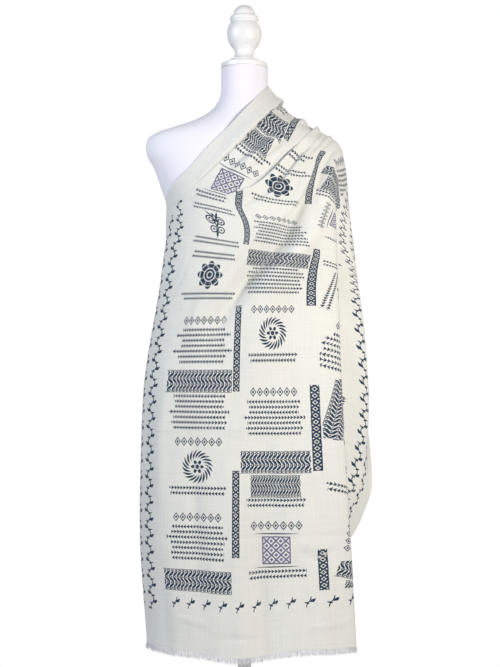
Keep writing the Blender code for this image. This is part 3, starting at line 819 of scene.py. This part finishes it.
def rail_surface(along, across):
    """Points of the cloth before its folds: along is one value a row, across one row of values each."""
    rails = []
    for _, _, rows in RAILS:
        points = np.array([row[1:] for row in rows]) * MM
        rails.append(smooth_curve(column(rows, RAIL_COLUMNS, "along") * MM, points, along))
    places = [place * MM for _, place, _ in RAILS]
    return np.array([
        smooth_curve(places, np.array([rail[row] for rail in rails]), across[row])
        for row in range(len(along))
    ])


def grid_normals(surface, along, across, reach=0.0015):
    """The way out of the cloth's right side at each point of a surface's grid."""
    side = surface(along, across + reach) - surface(along, across - reach)
    up = surface(along + reach, across) - surface(along - reach, across)
    way = np.cross(side, up)
    return way / np.linalg.norm(way, axis=2, keepdims=True)


def off_line(along, across, start_point, end_point):
    """How far along a line each point lies, from 0 to 1 between its ends, and how far off to its side."""
    run_along = end_point[0] - start_point[0]
    run_across = end_point[1] - start_point[1]
    length = math.hypot(run_along, run_across)
    off_along = along - start_point[0]
    off_across = across - start_point[1]
    part = (off_along * run_along + off_across * run_across) / length ** 2
    off = (off_along * run_across - off_across * run_along) / length
    return part, off, length


def fold_height(along, across):
    """Height of the broad folds over the grid."""
    height = np.zeros_like(across)
    for row in FOLDS:
        fold = dict(zip(FOLD_COLUMNS, np.array(row) * MM))
        start_point = (fold["from_along"], fold["from_across"])
        end_point = (fold["to_along"], fold["to_across"])
        part, off, _ = off_line(along[:, None], across, start_point, end_point)
        taper = np.sin(math.pi * np.clip(part, 0, 1))
        height += fold["height"] * taper * np.exp(-(off / fold["half_width"]) ** 2)
    return height


def crease_height(along, across):
    """Height of the creases over the grid, each at its full height halfway along its path."""
    height = np.zeros_like(across)
    for row in creases:
        crease = dict(zip(CREASE_COLUMNS, row))
        path = crease["path"]
        nearest = np.full_like(across, np.inf)
        best_off = np.zeros_like(across)
        best_way = np.zeros_like(across)
        passed = 0.0
        for start_point, end_point in zip(path, path[1:]):
            part, off, length = off_line(along[:, None], across, start_point, end_point)
            clipped = np.clip(part, 0, 1)
            distance = np.hypot(off, (part - clipped) * length)
            nearer = distance < nearest
            nearest = np.where(nearer, distance, nearest)
            best_off = np.where(nearer, off, best_off)
            best_way = np.where(nearer, passed + clipped * length, best_way)
            passed += length
        side = best_off if path[0][0] > path[-1][0] else -best_off
        width = np.where(side < 0, crease["near_width"], crease["far_width"])
        taper = np.clip(np.sin(math.pi * best_way / passed), 0, 1) ** CREASE_TAPER
        height += crease["height"] * taper * np.exp(-(nearest / width) ** 2)
    return height


def hanging_height(along, across):
    """Height of the hanging folds over the grid, 0 up to the crest and full at the back hem."""
    fall = np.clip((along - CREST_ALONG) / (CLOTH_LENGTH - CREST_ALONG), 0, 1)
    profile = np.full_like(across, -HANGING_TROUGH)
    for row in HANGING_FOLDS:
        fold = dict(zip(HANGING_COLUMNS, np.array(row) * MM))
        profile += fold["height"] * np.exp(-((across - fold["across"]) / fold["half_width"]) ** 2)
    return fall[:, None] ** HANGING_TAPER * profile


def crest_calm(along, across):
    """Share of its height that a fold keeps: less where the outer shoulder draws the cloth tight."""
    over_crest = np.exp(-((along - CREST_ALONG) / CALM_REACH) ** 2)
    outer = np.clip((across - CALM_FROM) / CALM_RUN, 0, 1)
    return 1.0 - CALM_SHARE * over_crest[:, None] * outer


def cloth_grid(along, across):
    """The middle of the cloth over a grid, with its folds and creases, clear of the form."""
    lift = (fold_height(along, across) + crease_height(along, across)) * crest_calm(along, across)
    lift += hanging_height(along, across)
    points = rail_surface(along, across) + grid_normals(rail_surface, along, across) * lift[:, :, None]
    off = np.hypot(along[:, None] - CREST_ALONG, across) / SEAT_REACH
    clearance = FORM_CLEARANCE - (FORM_CLEARANCE - SEAT_CLEARANCE) * np.exp(-off ** 2)
    lowest = clearance + np.clip(lift, 0.0, None) * LIFTED_SHARE
    return clear_of_form(points.reshape(-1, 3), lowest.reshape(-1)).reshape(points.shape)


def spaced(*runs):
    """Places along a line: each run is (from, to, number of cells)."""
    places = [np.array([runs[0][0]])]
    for start_place, end_place, cells in runs:
        places.append(np.linspace(start_place, end_place, cells + 1)[1:])
    return np.concatenate(places)


# Where the creases run that the columns of the mesh follow, as (along, across) points in millimetres
MARGIN_CREASE = (
    (0, 46), (900, 42), (1000, 37.5), (1120, 43.5), (1200, 48.5), (1270, 53.5), (1460, 56), (1800, 58),
)
LAP_CREASE = (
    (0, 150), (920, 110), (1000, 120), (1040, 150), (1090, 178), (1130, 194), (1200, 206), (1400, 210),
    (1800, 215),
)
SIDE_CREASE = ((0, 560), (1800, 560))
EDGE_CELLS = 18
LAP_CELLS = 32
FRONT_CELLS = 62
SIDE_CELLS = 26
EVEN_SHARE = 0.35

cloth_along = spaced((0.0, 0.90, 140), (0.90, 1.32, 96), (1.32, CLOTH_LENGTH, 62))


def path_across(path):
    """Where a crease's path is across the cloth, at each row of the mesh."""
    path_along, across = np.array(path).T * MM
    return np.interp(cloth_along, path_along, across)


margin_across = path_across(MARGIN_CREASE)
lap_across = path_across(LAP_CREASE)
side_across = path_across(SIDE_CREASE)


def between(first, last, cells):
    """Places between two lines, closer near both, one row for each row of the mesh, without the last."""
    even = np.arange(cells) / cells
    part = EVEN_SHARE * even + (1 - EVEN_SHARE) * (0.5 - 0.5 * np.cos(math.pi * even))
    return first[:, None] + (last - first)[:, None] * part[None, :]


cloth_across = np.concatenate([
    between(np.zeros_like(cloth_along), margin_across, EDGE_CELLS),
    between(margin_across, lap_across, LAP_CELLS),
    between(lap_across, side_across, FRONT_CELLS),
    between(side_across, np.full_like(cloth_along, CLOTH_WIDTH), SIDE_CELLS),
    np.full((len(cloth_along), 1), CLOTH_WIDTH),
], axis=1)
middle = cloth_grid(cloth_along, cloth_across)
ways_out = grid_normals(cloth_grid, cloth_along, cloth_across)
half_wall = ways_out * CLOTH_WALL / 2
rows, columns = middle.shape[:2]
count = rows * columns

# How hollow the cloth is at each point, from its bend both ways: 1 at the bottom of a sharp crease. This
# mask paints shade into the cloth's colour in its creases, on the right side and on the inside
SHARP_BEND = 420.0
bend = np.zeros((rows, columns))
for axis in (0, 1):
    step = np.gradient(middle, axis=axis)
    turn = np.gradient(ways_out, axis=axis)
    bend += (step * turn).sum(axis=2) / (step ** 2).sum(axis=2) / SHARP_BEND
shade_mask_points = np.concatenate([np.clip(-bend, 0, 1).ravel(), np.clip(bend, 0, 1).ravel()])

# The print's own place across the cloth. At the shoulder the cloth is narrower than it was cut, and
# what is missing lies hidden under the creases, so the print jumps there instead of being squeezed.
# It starts to narrow at NARROW_FROM. Past the side crease the print runs slanted.
NARROW_FROM = 0.84
NARROW_RUN = 0.14
SIDE_SHEAR = 0.50
SHEAR_RUN = 0.25
SHEAR_END = 1.30
steps = np.linalg.norm(np.diff(middle, axis=1), axis=2)
width_so_far = np.concatenate([np.zeros((rows, 1)), np.cumsum(steps, axis=1)], axis=1)
whole_width = width_so_far[:, -1]
opening = np.clip((cloth_along - NARROW_FROM) / NARROW_RUN, 0, 1)
opening = opening * opening * (3 - 2 * opening)
hidden = np.clip(CLOTH_WIDTH - whole_width, 0, None) * opening
shown_part = width_so_far / whole_width[:, None] * opening[:, None]
shown_part += cloth_across / CLOTH_WIDTH * (1 - opening[:, None])
print_across = shown_part * (CLOTH_WIDTH - hidden)[:, None]
first_side_column = EDGE_CELLS + LAP_CELLS + FRONT_CELLS
past_side = width_so_far - width_so_far[:, first_side_column][:, None]
shear_share = np.clip(cloth_along / SHEAR_RUN, 0, 1) * np.clip((SHEAR_END - cloth_along) / SHEAR_RUN, 0, 1)
print_along = cloth_along[:, None] + SIDE_SHEAR * np.clip(past_side, 0, None) * shear_share[:, None]

# How much of the hidden width lies under the crease at each of these columns
HIDDEN_SHARES = ((EDGE_CELLS, 0.55), (EDGE_CELLS + LAP_CELLS, 0.27), (first_side_column, 0.18))

# The mesh: the right side, the inside and the wall between them along the border
cloth_points = np.concatenate([(middle + half_wall).reshape(-1, 3), (middle - half_wall).reshape(-1, 3)])
cloth_faces = []
face_sides = []
corner_prints = []
for row in range(rows - 1):
    for place_across in range(columns - 1):
        low = row * columns + place_across
        quad = (low, low + 1, low + columns + 1, low + columns)
        cloth_faces.append(quad)
        face_sides.append(0)
        share = sum(part for crease_column, part in HIDDEN_SHARES if place_across >= crease_column)
        corner_prints.append([
            (print_across[point] + hidden[point[0]] * share, print_along[point])
            for point in (divmod(corner, columns) for corner in quad)
        ])
for quad, corners in list(zip(cloth_faces, corner_prints)):
    cloth_faces.append(tuple(count + point for point in reversed(quad)))
    face_sides.append(1)
    corner_prints.append(list(reversed(corners)))
first_row = list(range(columns))
last_row = [count - columns + point for point in first_row]
first_column = [row * columns for row in range(rows)]
last_column = [point + columns - 1 for point in first_column]
border = first_row + last_column[1:] + last_row[-2::-1] + first_column[-2:0:-1]
for here, beyond in zip(border, border[1:] + border[:1]):
    cloth_faces.append((beyond, here, here + count, beyond + count))
    face_sides.append(0)
    first, second = [
        (print_across[divmod(point, columns)], cloth_along[point // columns]) for point in (beyond, here)
    ]
    corner_prints.append([first, second, second, first])

# The print and its colours. Each motif is 1 inside its shape and 0 outside, with x and y from its middle.
WEAVE_PITCH = 0.0011
NAVY = rgb(0.018, 0.043, 0.088)
LILAC = rgb(0.170, 0.155, 0.270)
CLOTH_LIGHT = rgb(0.865, 0.862, 0.820)
CLOTH_COOL = rgb(0.760, 0.778, 0.752)
# Painted shade: the colour the cloth is darkened towards in its sharp creases, and how far
PAINTED_SHADE_COLOR = rgb(0.300, 0.320, 0.335)
PAINTED_SHADE_SHARE = 0.60
SLUB_CONTRAST = 2.4
DIAGONAL = 0.7071
VINE_PITCH = 0.034
SPRIG_LINE = 0.098
WREATH_RADIUS = 0.0245
WREATH_LEAVES = 20
STRIP_PLACES = (0.268, 0.432)


def length_of(x, y):
    """Distance of a place from the middle."""
    return (x * x + y * y).applied("SQRT")


def leaf(x, y, half_length, half_width):
    """1 inside a pointed leaf that lies along y."""
    part = y / half_length
    return abs(x) < (1.0 - part * part) * half_width


def ring(distance, radius, half_width):
    """1 on a thin ring."""
    return abs(distance - radius) < half_width


def alternate(number):
    """1 for even repeats and -1 for odd ones."""
    return 1.0 - abs(number.applied("MODULO", 2.0)) * 2.0


def vine(x, y, period):
    """A waving stem along y with a slanting leaf on alternate sides."""
    wave = (y * (math.tau / period)).applied("SINE")
    stem = abs(x - wave * 0.0042) < 0.0010
    t = y.wrapped(period / 2)
    s = x * wave.applied("SIGN")
    long_way = (t + s) * DIAGONAL
    short_way = (s - t) * DIAGONAL
    return stem.most(leaf(short_way - 0.0026, long_way - 0.0046, 0.0086, 0.0034))


def vine_borders(u, v):
    """Two waving vines beside each long edge and one sprig row beside each hem."""
    edge = u.least(CLOTH_WIDTH - u)
    outer = edge > 0.071
    x = edge - 0.056 - outer * 0.031
    inside = (abs(x) < 0.0145) * (abs(v - CLOTH_LENGTH / 2) < CLOTH_LENGTH / 2 - 0.075)
    vines = vine(x, v + outer * 0.013, VINE_PITCH) * inside
    off_line_of_sprigs = v.least(CLOTH_LENGTH - v) - SPRIG_LINE
    sprigs = vine(u.wrapped(VINE_PITCH), off_line_of_sprigs, 0.040)
    return vines.most(sprigs * (abs(off_line_of_sprigs) < 0.0110) * (abs(u - CLOTH_WIDTH / 2) < 0.235))


def rosette(x, y):
    """An eight-petalled flower with a ringed centre."""
    distance = length_of(x, y)
    turned_angle = y.applied("ARCTAN2", x) * 4.0
    petal = abs(turned_angle.applied("COSINE"))
    body = distance < 0.0225 + petal * 0.0115
    vein = petal < 0.10
    rings = ring(distance, 0.0155, 0.0012).most(ring(distance, 0.0075, 0.0011))
    cuts = rings.most(vein * (distance > 0.0167))
    inner = ring(distance, 0.0270, 0.0009) * (petal > 0.5)
    return body * (1.0 - cuts) * (1.0 - inner)


def wreath(x, y):
    """A ring of slanting leaves round a small star."""
    distance = length_of(x, y)
    angle = y.applied("ARCTAN2", x)
    q = distance - WREATH_RADIUS
    t = (angle * WREATH_RADIUS + q * 0.8).wrapped(math.tau * WREATH_RADIUS / WREATH_LEAVES)
    star = distance < 0.0045 + abs((angle * 3.0).applied("COSINE")) * 0.0095
    return leaf(t, q, 0.0088, 0.0026).most(star * (1.0 - ring(distance, 0.0055, 0.0010)))


def leaf_band(x, y):
    """A long band filled with leaves that lean both ways."""
    row, pitch = 0.0116, 0.0082
    t = y.wrapped(row)
    lean = x + t * alternate(y.counted(row)) * 0.75
    leaves = leaf(lean.wrapped(pitch), t, 0.0070, 0.0032)
    buds = length_of((lean + pitch / 2).wrapped(pitch), (y + row / 2).wrapped(row)) < 0.0016
    inside = (abs(x) < 0.072) * (abs(y) < 0.0205)
    rim = (abs(x) < 0.074) * (abs(y) < 0.0222) * (abs(y) > 0.0210)
    return (leaves.most(buds) * inside).most(rim)


def palmette(x, y):
    """A mirrored scroll flower on a short stem."""
    a = abs(x)
    upper = length_of(a - 0.0125, y - 0.0120)
    lower = length_of(a - 0.0105, y + 0.0150)
    scrolls = ring(upper, 0.0108, 0.0018).most(ring(upper, 0.0050, 0.0015))
    scrolls = scrolls.most(ring(lower, 0.0088, 0.0017)).most(lower < 0.0030)
    heart = leaf(x, y - 0.0120, 0.0230, 0.0062) * (1.0 - leaf(x, y - 0.0130, 0.0140, 0.0026))
    tail = leaf(x, y + 0.0260, 0.0130, 0.0036)
    fan = leaf(a - 0.0075 - (y - 0.026) * 0.55, y - 0.0290, 0.0095, 0.0027)
    return scrolls.most(heart).most(tail).most(fan)


def lattice_tile(x, y):
    """A square tile of crossed lines with small diamonds between them."""
    pitch = 0.0187
    first, second = abs((x + y).wrapped(pitch)), abs((x - y).wrapped(pitch))
    farther = abs(x).most(abs(y))
    filled = (first.least(second) < 0.0022).most(first.least(second) > 0.0056)
    return filled.most(farther > 0.0255) * (farther < 0.0280)


def tile_rules(x, y):
    """A swelling line above and below a tile."""
    part = x / 0.047
    return abs(abs(y) - 0.0335) < (1.0 - part * part) * 0.0012


def wheat_rows(x, y, panel, start):
    """Rows of slanting grains on a thin stalk, each row as long as chance has it."""
    row_pitch = 0.0106
    row = y.counted(row_pitch)
    t = y.wrapped(row_pitch)
    chance = start.node("ShaderNodeTexWhiteNoise", {"noise_dimensions": "1D"}, {"W": row + panel * 13.0})
    half = 0.050 + chance * 0.019
    lean = x + abs(t) * alternate(row) * 0.9
    grains = leaf(lean.wrapped(0.0066), t, 0.0040, 0.0021)
    stalk = abs(t) < 0.0005
    return grains.most(stalk) * (abs(x) < half)


def diamond_frieze(x, y):
    """A row of hollow diamonds, point to point."""
    diamond = abs(x.wrapped(0.0150)) * 1.3 + abs(y)
    return (diamond < 0.0094) * (1.0 - (diamond < 0.0064) * (diamond > 0.0034)) * (abs(x) < 0.0525)


def lattice_strip(u, v, across_place):
    """A narrow dark strip with a row of pale diamonds and dots."""
    x = u - across_place
    pitch = 0.0132
    t = v.wrapped(pitch)
    diamond = abs(x) * 1.1 + abs(t)
    open_part = (diamond < 0.0048) * (diamond > 0.0030)
    dots = (abs(abs(x) - 0.0044) + abs(abs(t) - pitch / 2)) < 0.0016
    return (1.0 - open_part.most(dots)) * (abs(x) < 0.0072)


def printed(start):
    """Where the cloth is printed dark blue, and where grey-lilac."""
    cut = start.node("ShaderNodeUVMap", {"uv_map": "cut"})
    parts = start.node("ShaderNodeSeparateXYZ", None, {0: cut})
    lengthwise = Value(parts.tree, parts.socket.node.outputs[1])
    wobble = noise(start, cut, 260.0, 1.0)
    u = parts * CLOTH_LENGTH + (wobble - 0.5) * 0.0010
    v = lengthwise * CLOTH_LENGTH + (wobble - 0.5) * 0.0008

    # three columns of panels, each column with its own pitch and start
    second, third = (u > place for place in STRIP_PLACES)
    x0 = u - 0.188 - second * 0.162 - third * 0.1635
    pitch = 0.1310 + second * 0.0125 - third * 0.0210
    place_along = (v + 0.020 + second * 0.061 + third * 0.047) / pitch
    panel = (place_along + 0.5).applied("FLOOR")
    y0 = (place_along - panel) * pitch
    kind = (panel * 3.0 + second * 2.0 + third * 3.0).applied("WRAP", 7.5, -0.5)
    tilt = third * (abs(panel.applied("MODULO", 2.0)) * 1.60 - 0.30)
    cosine = tilt.applied("COSINE")
    sine = tilt.applied("SINE")
    x = x0 * cosine + y0 * sine
    y = y0 * cosine - x0 * sine

    def chosen(*numbers):
        mask = abs(kind - numbers[0]) < 0.5
        for number in numbers[1:]:
            mask = mask.most(abs(kind - number) < 0.5)
        return mask

    # an ornament in the middle of most panels, with rows of wheat above and below it
    inner, outer = 0.0370, 0.0583
    low_rows = (y < -inner) * (y > -outer)
    high_rows = (y > inner) * (y < outer)
    full_rows = (y < 0.0160) * (y > -outer)
    row_places = low_rows.most(high_rows * chosen(2, 5)).most(full_rows * chosen(4, 6, 7))
    dark = wheat_rows(x, y, panel, start) * row_places
    dark = dark.most(diamond_frieze(x, y - 0.0300) * chosen(6, 7))
    dark = dark.most(leaf_band(x, y - 0.0400) * chosen(4))
    dark = dark.most(diamond_frieze(x, y - 0.0500) * chosen(0, 1))
    dark = dark.most(rosette(x * 1.02, y * 1.02 - 0.001) * chosen(2))
    dark = dark.most((leaf_band(x, y - 0.0330).most(leaf_band(x * 1.4, y + 0.0150))) * chosen(3))
    dark = dark.most(palmette(x * 1.05, y * 1.05) * chosen(5))
    dark = dark.most(wreath(x * 0.98, y * 0.98) * chosen(1))
    dark = dark.most(tile_rules(x, y) * chosen(0))
    lilac = lattice_tile(x, y) * chosen(0)

    field = (abs(u - 0.350) < 0.245) * (abs(v - CLOTH_LENGTH / 2) < CLOTH_LENGTH / 2 - 0.122)
    strip_gap = (abs(u - STRIP_PLACES[0]) < 0.0095).most(abs(u - STRIP_PLACES[1]) < 0.0095)
    strip_along = abs((v + (u > 0.35) * 0.160 + 0.05).wrapped(0.330)) < 0.086
    strips = lattice_strip(u, v, STRIP_PLACES[0]).most(lattice_strip(u, v, STRIP_PLACES[1])) * strip_along
    dark = (dark * (1.0 - strip_gap)).most(strips) * field
    lilac = lilac * field * (1.0 - strip_gap)
    return cut, u, v, dark.most(vine_borders(u, v)), lilac


def cloth_finish(name, ink):
    """The cloth's plain weave with its print, at full strength or as it shows through on the inside, with
    painted shade in its creases.
    """
    material, start = new_finish(
        name, Roughness=0.82, Sheen_Weight=0.30, Sheen_Roughness=0.45, Specular_IOR_Level=0.22
    )
    cut, u, v, dark, lilac = printed(start)
    mottle = noise(start, cut, 26.0, 3.0)
    stretched = start.node("ShaderNodeMapping", None, {"Vector": cut, "Scale": (700.0, 22.0, 1.0)})
    warp_slub = noise(start, stretched, 1.0, 2.0)
    crossed = start.node("ShaderNodeMapping", None, {"Vector": cut, "Scale": (22.0, 700.0, 1.0)})
    weft_slub = noise(start, crossed, 1.0, 2.0)
    slub = (warp_slub + weft_slub) * 0.5
    ground = (mottle * 0.5 + (slub - 0.5) * SLUB_CONTRAST + 0.25).mixed(CLOTH_COOL, CLOTH_LIGHT)
    worn = 1.0 - (slub > 0.60) * 0.35
    color = (lilac * worn * ink).mixed(ground, LILAC)
    color = (dark * worn * ink).mixed(color, NAVY)
    # Painted shade: the cloth's colour is darkened in its sharp creases, as far as the crease mask reaches
    crease_shade_mask = start.node("ShaderNodeAttribute", {"attribute_name": "crease_shade_mask"}, None, 2)
    color = (crease_shade_mask * PAINTED_SHADE_SHARE).mixed(color, PAINTED_SHADE_COLOR)
    feed(material, "Base Color", color)
    warp = u * (math.tau / WEAVE_PITCH)
    weft = v * (math.tau / WEAVE_PITCH)
    weave = warp.applied("SINE") * weft.applied("SINE")
    feed(material, "Normal", (weave * 0.35 + slub * 1.6).bumped(0.00045, 0.55))
    return material


cloth_right = cloth_finish("printed_cloth", 1.0)
cloth_inside = cloth_finish("printed_cloth_inside", 0.34)

shawl = new_piece("shawl", cloth_points, cloth_faces, [cloth_right, cloth_inside], face_sides, sharp=75)
cut_map = shawl.data.uv_layers.new(name="cut")
flat_corners = [place for corners in corner_prints for corner in corners for place in corner]
cut_map.data.foreach_set("uv", np.array(flat_corners) / CLOTH_LENGTH)
# The crease mask that paints shade into the cloth's colour
shade_mask_layer = shawl.data.attributes.new("crease_shade_mask", "FLOAT", "POINT")
shade_mask_layer.data.foreach_set("value", shade_mask_points)

# Fringe
# The cloth's two cut ends are frayed: its own lengthwise yarns hang free for 1 to 1.5 cm.
THREADS = 1500
THREAD_LENGTH = 0.0150
THREAD_UNEVEN = 0.30
THREAD_RADIUS = 0.00034
THREAD_LEAN = 0.26
THREAD_SPREAD = 0.009
THREAD_ROOT = 0.0004


def fringe_tree(name, threads, seed, yarn):
    """Node tree that hangs one thin thread at each of many places along a hem line.

    A thread is made one unit long, then scaled to its length, and to THREAD_SPREAD across.
    """
    tree = bpy.data.node_groups.new(name, "GeometryNodeTree")
    tree.interface.new_socket("Geometry", in_out="OUTPUT", socket_type="NodeSocketGeometry")
    tree.interface.new_socket("Geometry", in_out="INPUT", socket_type="NodeSocketGeometry")
    go = Value(tree)
    line = go.node("GeometryNodeMeshToCurve", None, {"Mesh": go.node("NodeGroupInput")})
    spread = go.node("GeometryNodeResampleCurve", None, {"Curve": line, "Count": threads})
    bend = go.node(
        "GeometryNodeCurvePrimitiveBezierSegment", None,
        {"Resolution": 4, "Start": (0.0, 0.0, 0.0), "Start Handle": (0.0, 0.05, -0.4),
         "End Handle": (0.10, -0.05, -0.75), "End": (0.16, 0.04, -1.0)},
    )
    unit_radius = THREAD_RADIUS / THREAD_SPREAD
    section = go.node("GeometryNodeCurvePrimitiveCircle", None, {"Resolution": 3, "Radius": unit_radius})
    thin = go.node(
        "GeometryNodeCurveToMesh", None,
        {"Curve": bend, "Profile Curve": section, "Fill Caps": True},
    )
    most_turn = (THREAD_LEAN, THREAD_LEAN, math.pi)
    least_turn = tuple(-angle for angle in most_turn)
    turns = go.node(
        "FunctionNodeRandomValue", {"data_type": "FLOAT_VECTOR"}, {0: least_turn, 1: most_turn, "Seed": seed}
    )
    share = go.node(
        "FunctionNodeRandomValue", {"data_type": "FLOAT"}, {2: 1.0 - THREAD_UNEVEN, 3: 1.0, "Seed": seed}, 1
    )
    sizes = go.node(
        "ShaderNodeCombineXYZ", None, {0: THREAD_SPREAD, 1: THREAD_SPREAD, 2: share * THREAD_LENGTH}
    )
    hung = go.node(
        "GeometryNodeInstanceOnPoints", None,
        {"Points": spread, "Instance": thin, "Rotation": turns, "Scale": sizes},
    )
    real = go.node("GeometryNodeRealizeInstances", None, {"Geometry": hung})
    smooth = go.node("GeometryNodeSetShadeSmooth", None, {"Geometry": real})
    dyed = go.node("GeometryNodeSetMaterial", None, {"Geometry": smooth, "Material": yarn})
    tree.links.new(dyed.socket, tree.nodes.new("NodeGroupOutput").inputs["Geometry"])
    return tree


yarn, start = new_finish(
    "frayed_yarn", Base_Color=rgb(0.88, 0.88, 0.92), Roughness=0.9, Sheen_Weight=0.3, Specular_IOR_Level=0.2
)


def fringe_piece(name, hem_row, inward_row, seed):
    """Frayed threads along one hem, made by the node tree and kept as a plain mesh."""
    hem = middle[hem_row]
    up = middle[inward_row] - hem
    up /= np.linalg.norm(up, axis=1, keepdims=True)
    points = [tuple(point) for point in hem + up * THREAD_ROOT]
    edges = [(place, place + 1) for place in range(len(points) - 1)]
    mesh = bpy.data.meshes.new(name + "_line")
    mesh.from_pydata(points, edges, [])
    hem_line = bpy.data.objects.new(name + "_line", mesh)
    bpy.context.scene.collection.objects.link(hem_line)
    grow = hem_line.modifiers.new("threads", "NODES")
    grow.node_group = fringe_tree(name, THREADS, seed, yarn)
    hem_line.update_tag()
    ready = hem_line.evaluated_get(bpy.context.evaluated_depsgraph_get())
    threads_mesh = bpy.data.meshes.new_from_object(ready)
    threads_mesh.name = name
    hem_line.modifiers.remove(grow)
    bpy.data.objects.remove(hem_line, do_unlink=True)
    piece = bpy.data.objects.new(name, threads_mesh)
    bpy.context.scene.collection.objects.link(piece)
    return piece


front_threads = fringe_piece("front_threads", 0, 1, 4)
back_threads = fringe_piece("back_threads", rows - 1, rows - 2, 9)
for piece, node in ((front_threads, "fringe_front"), (back_threads, "fringe_back")):
    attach(piece, "root")
    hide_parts(node)
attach(shawl, "root")
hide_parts("shawl_front_fall", "shawl_side_fall", "shawl_back_fall")
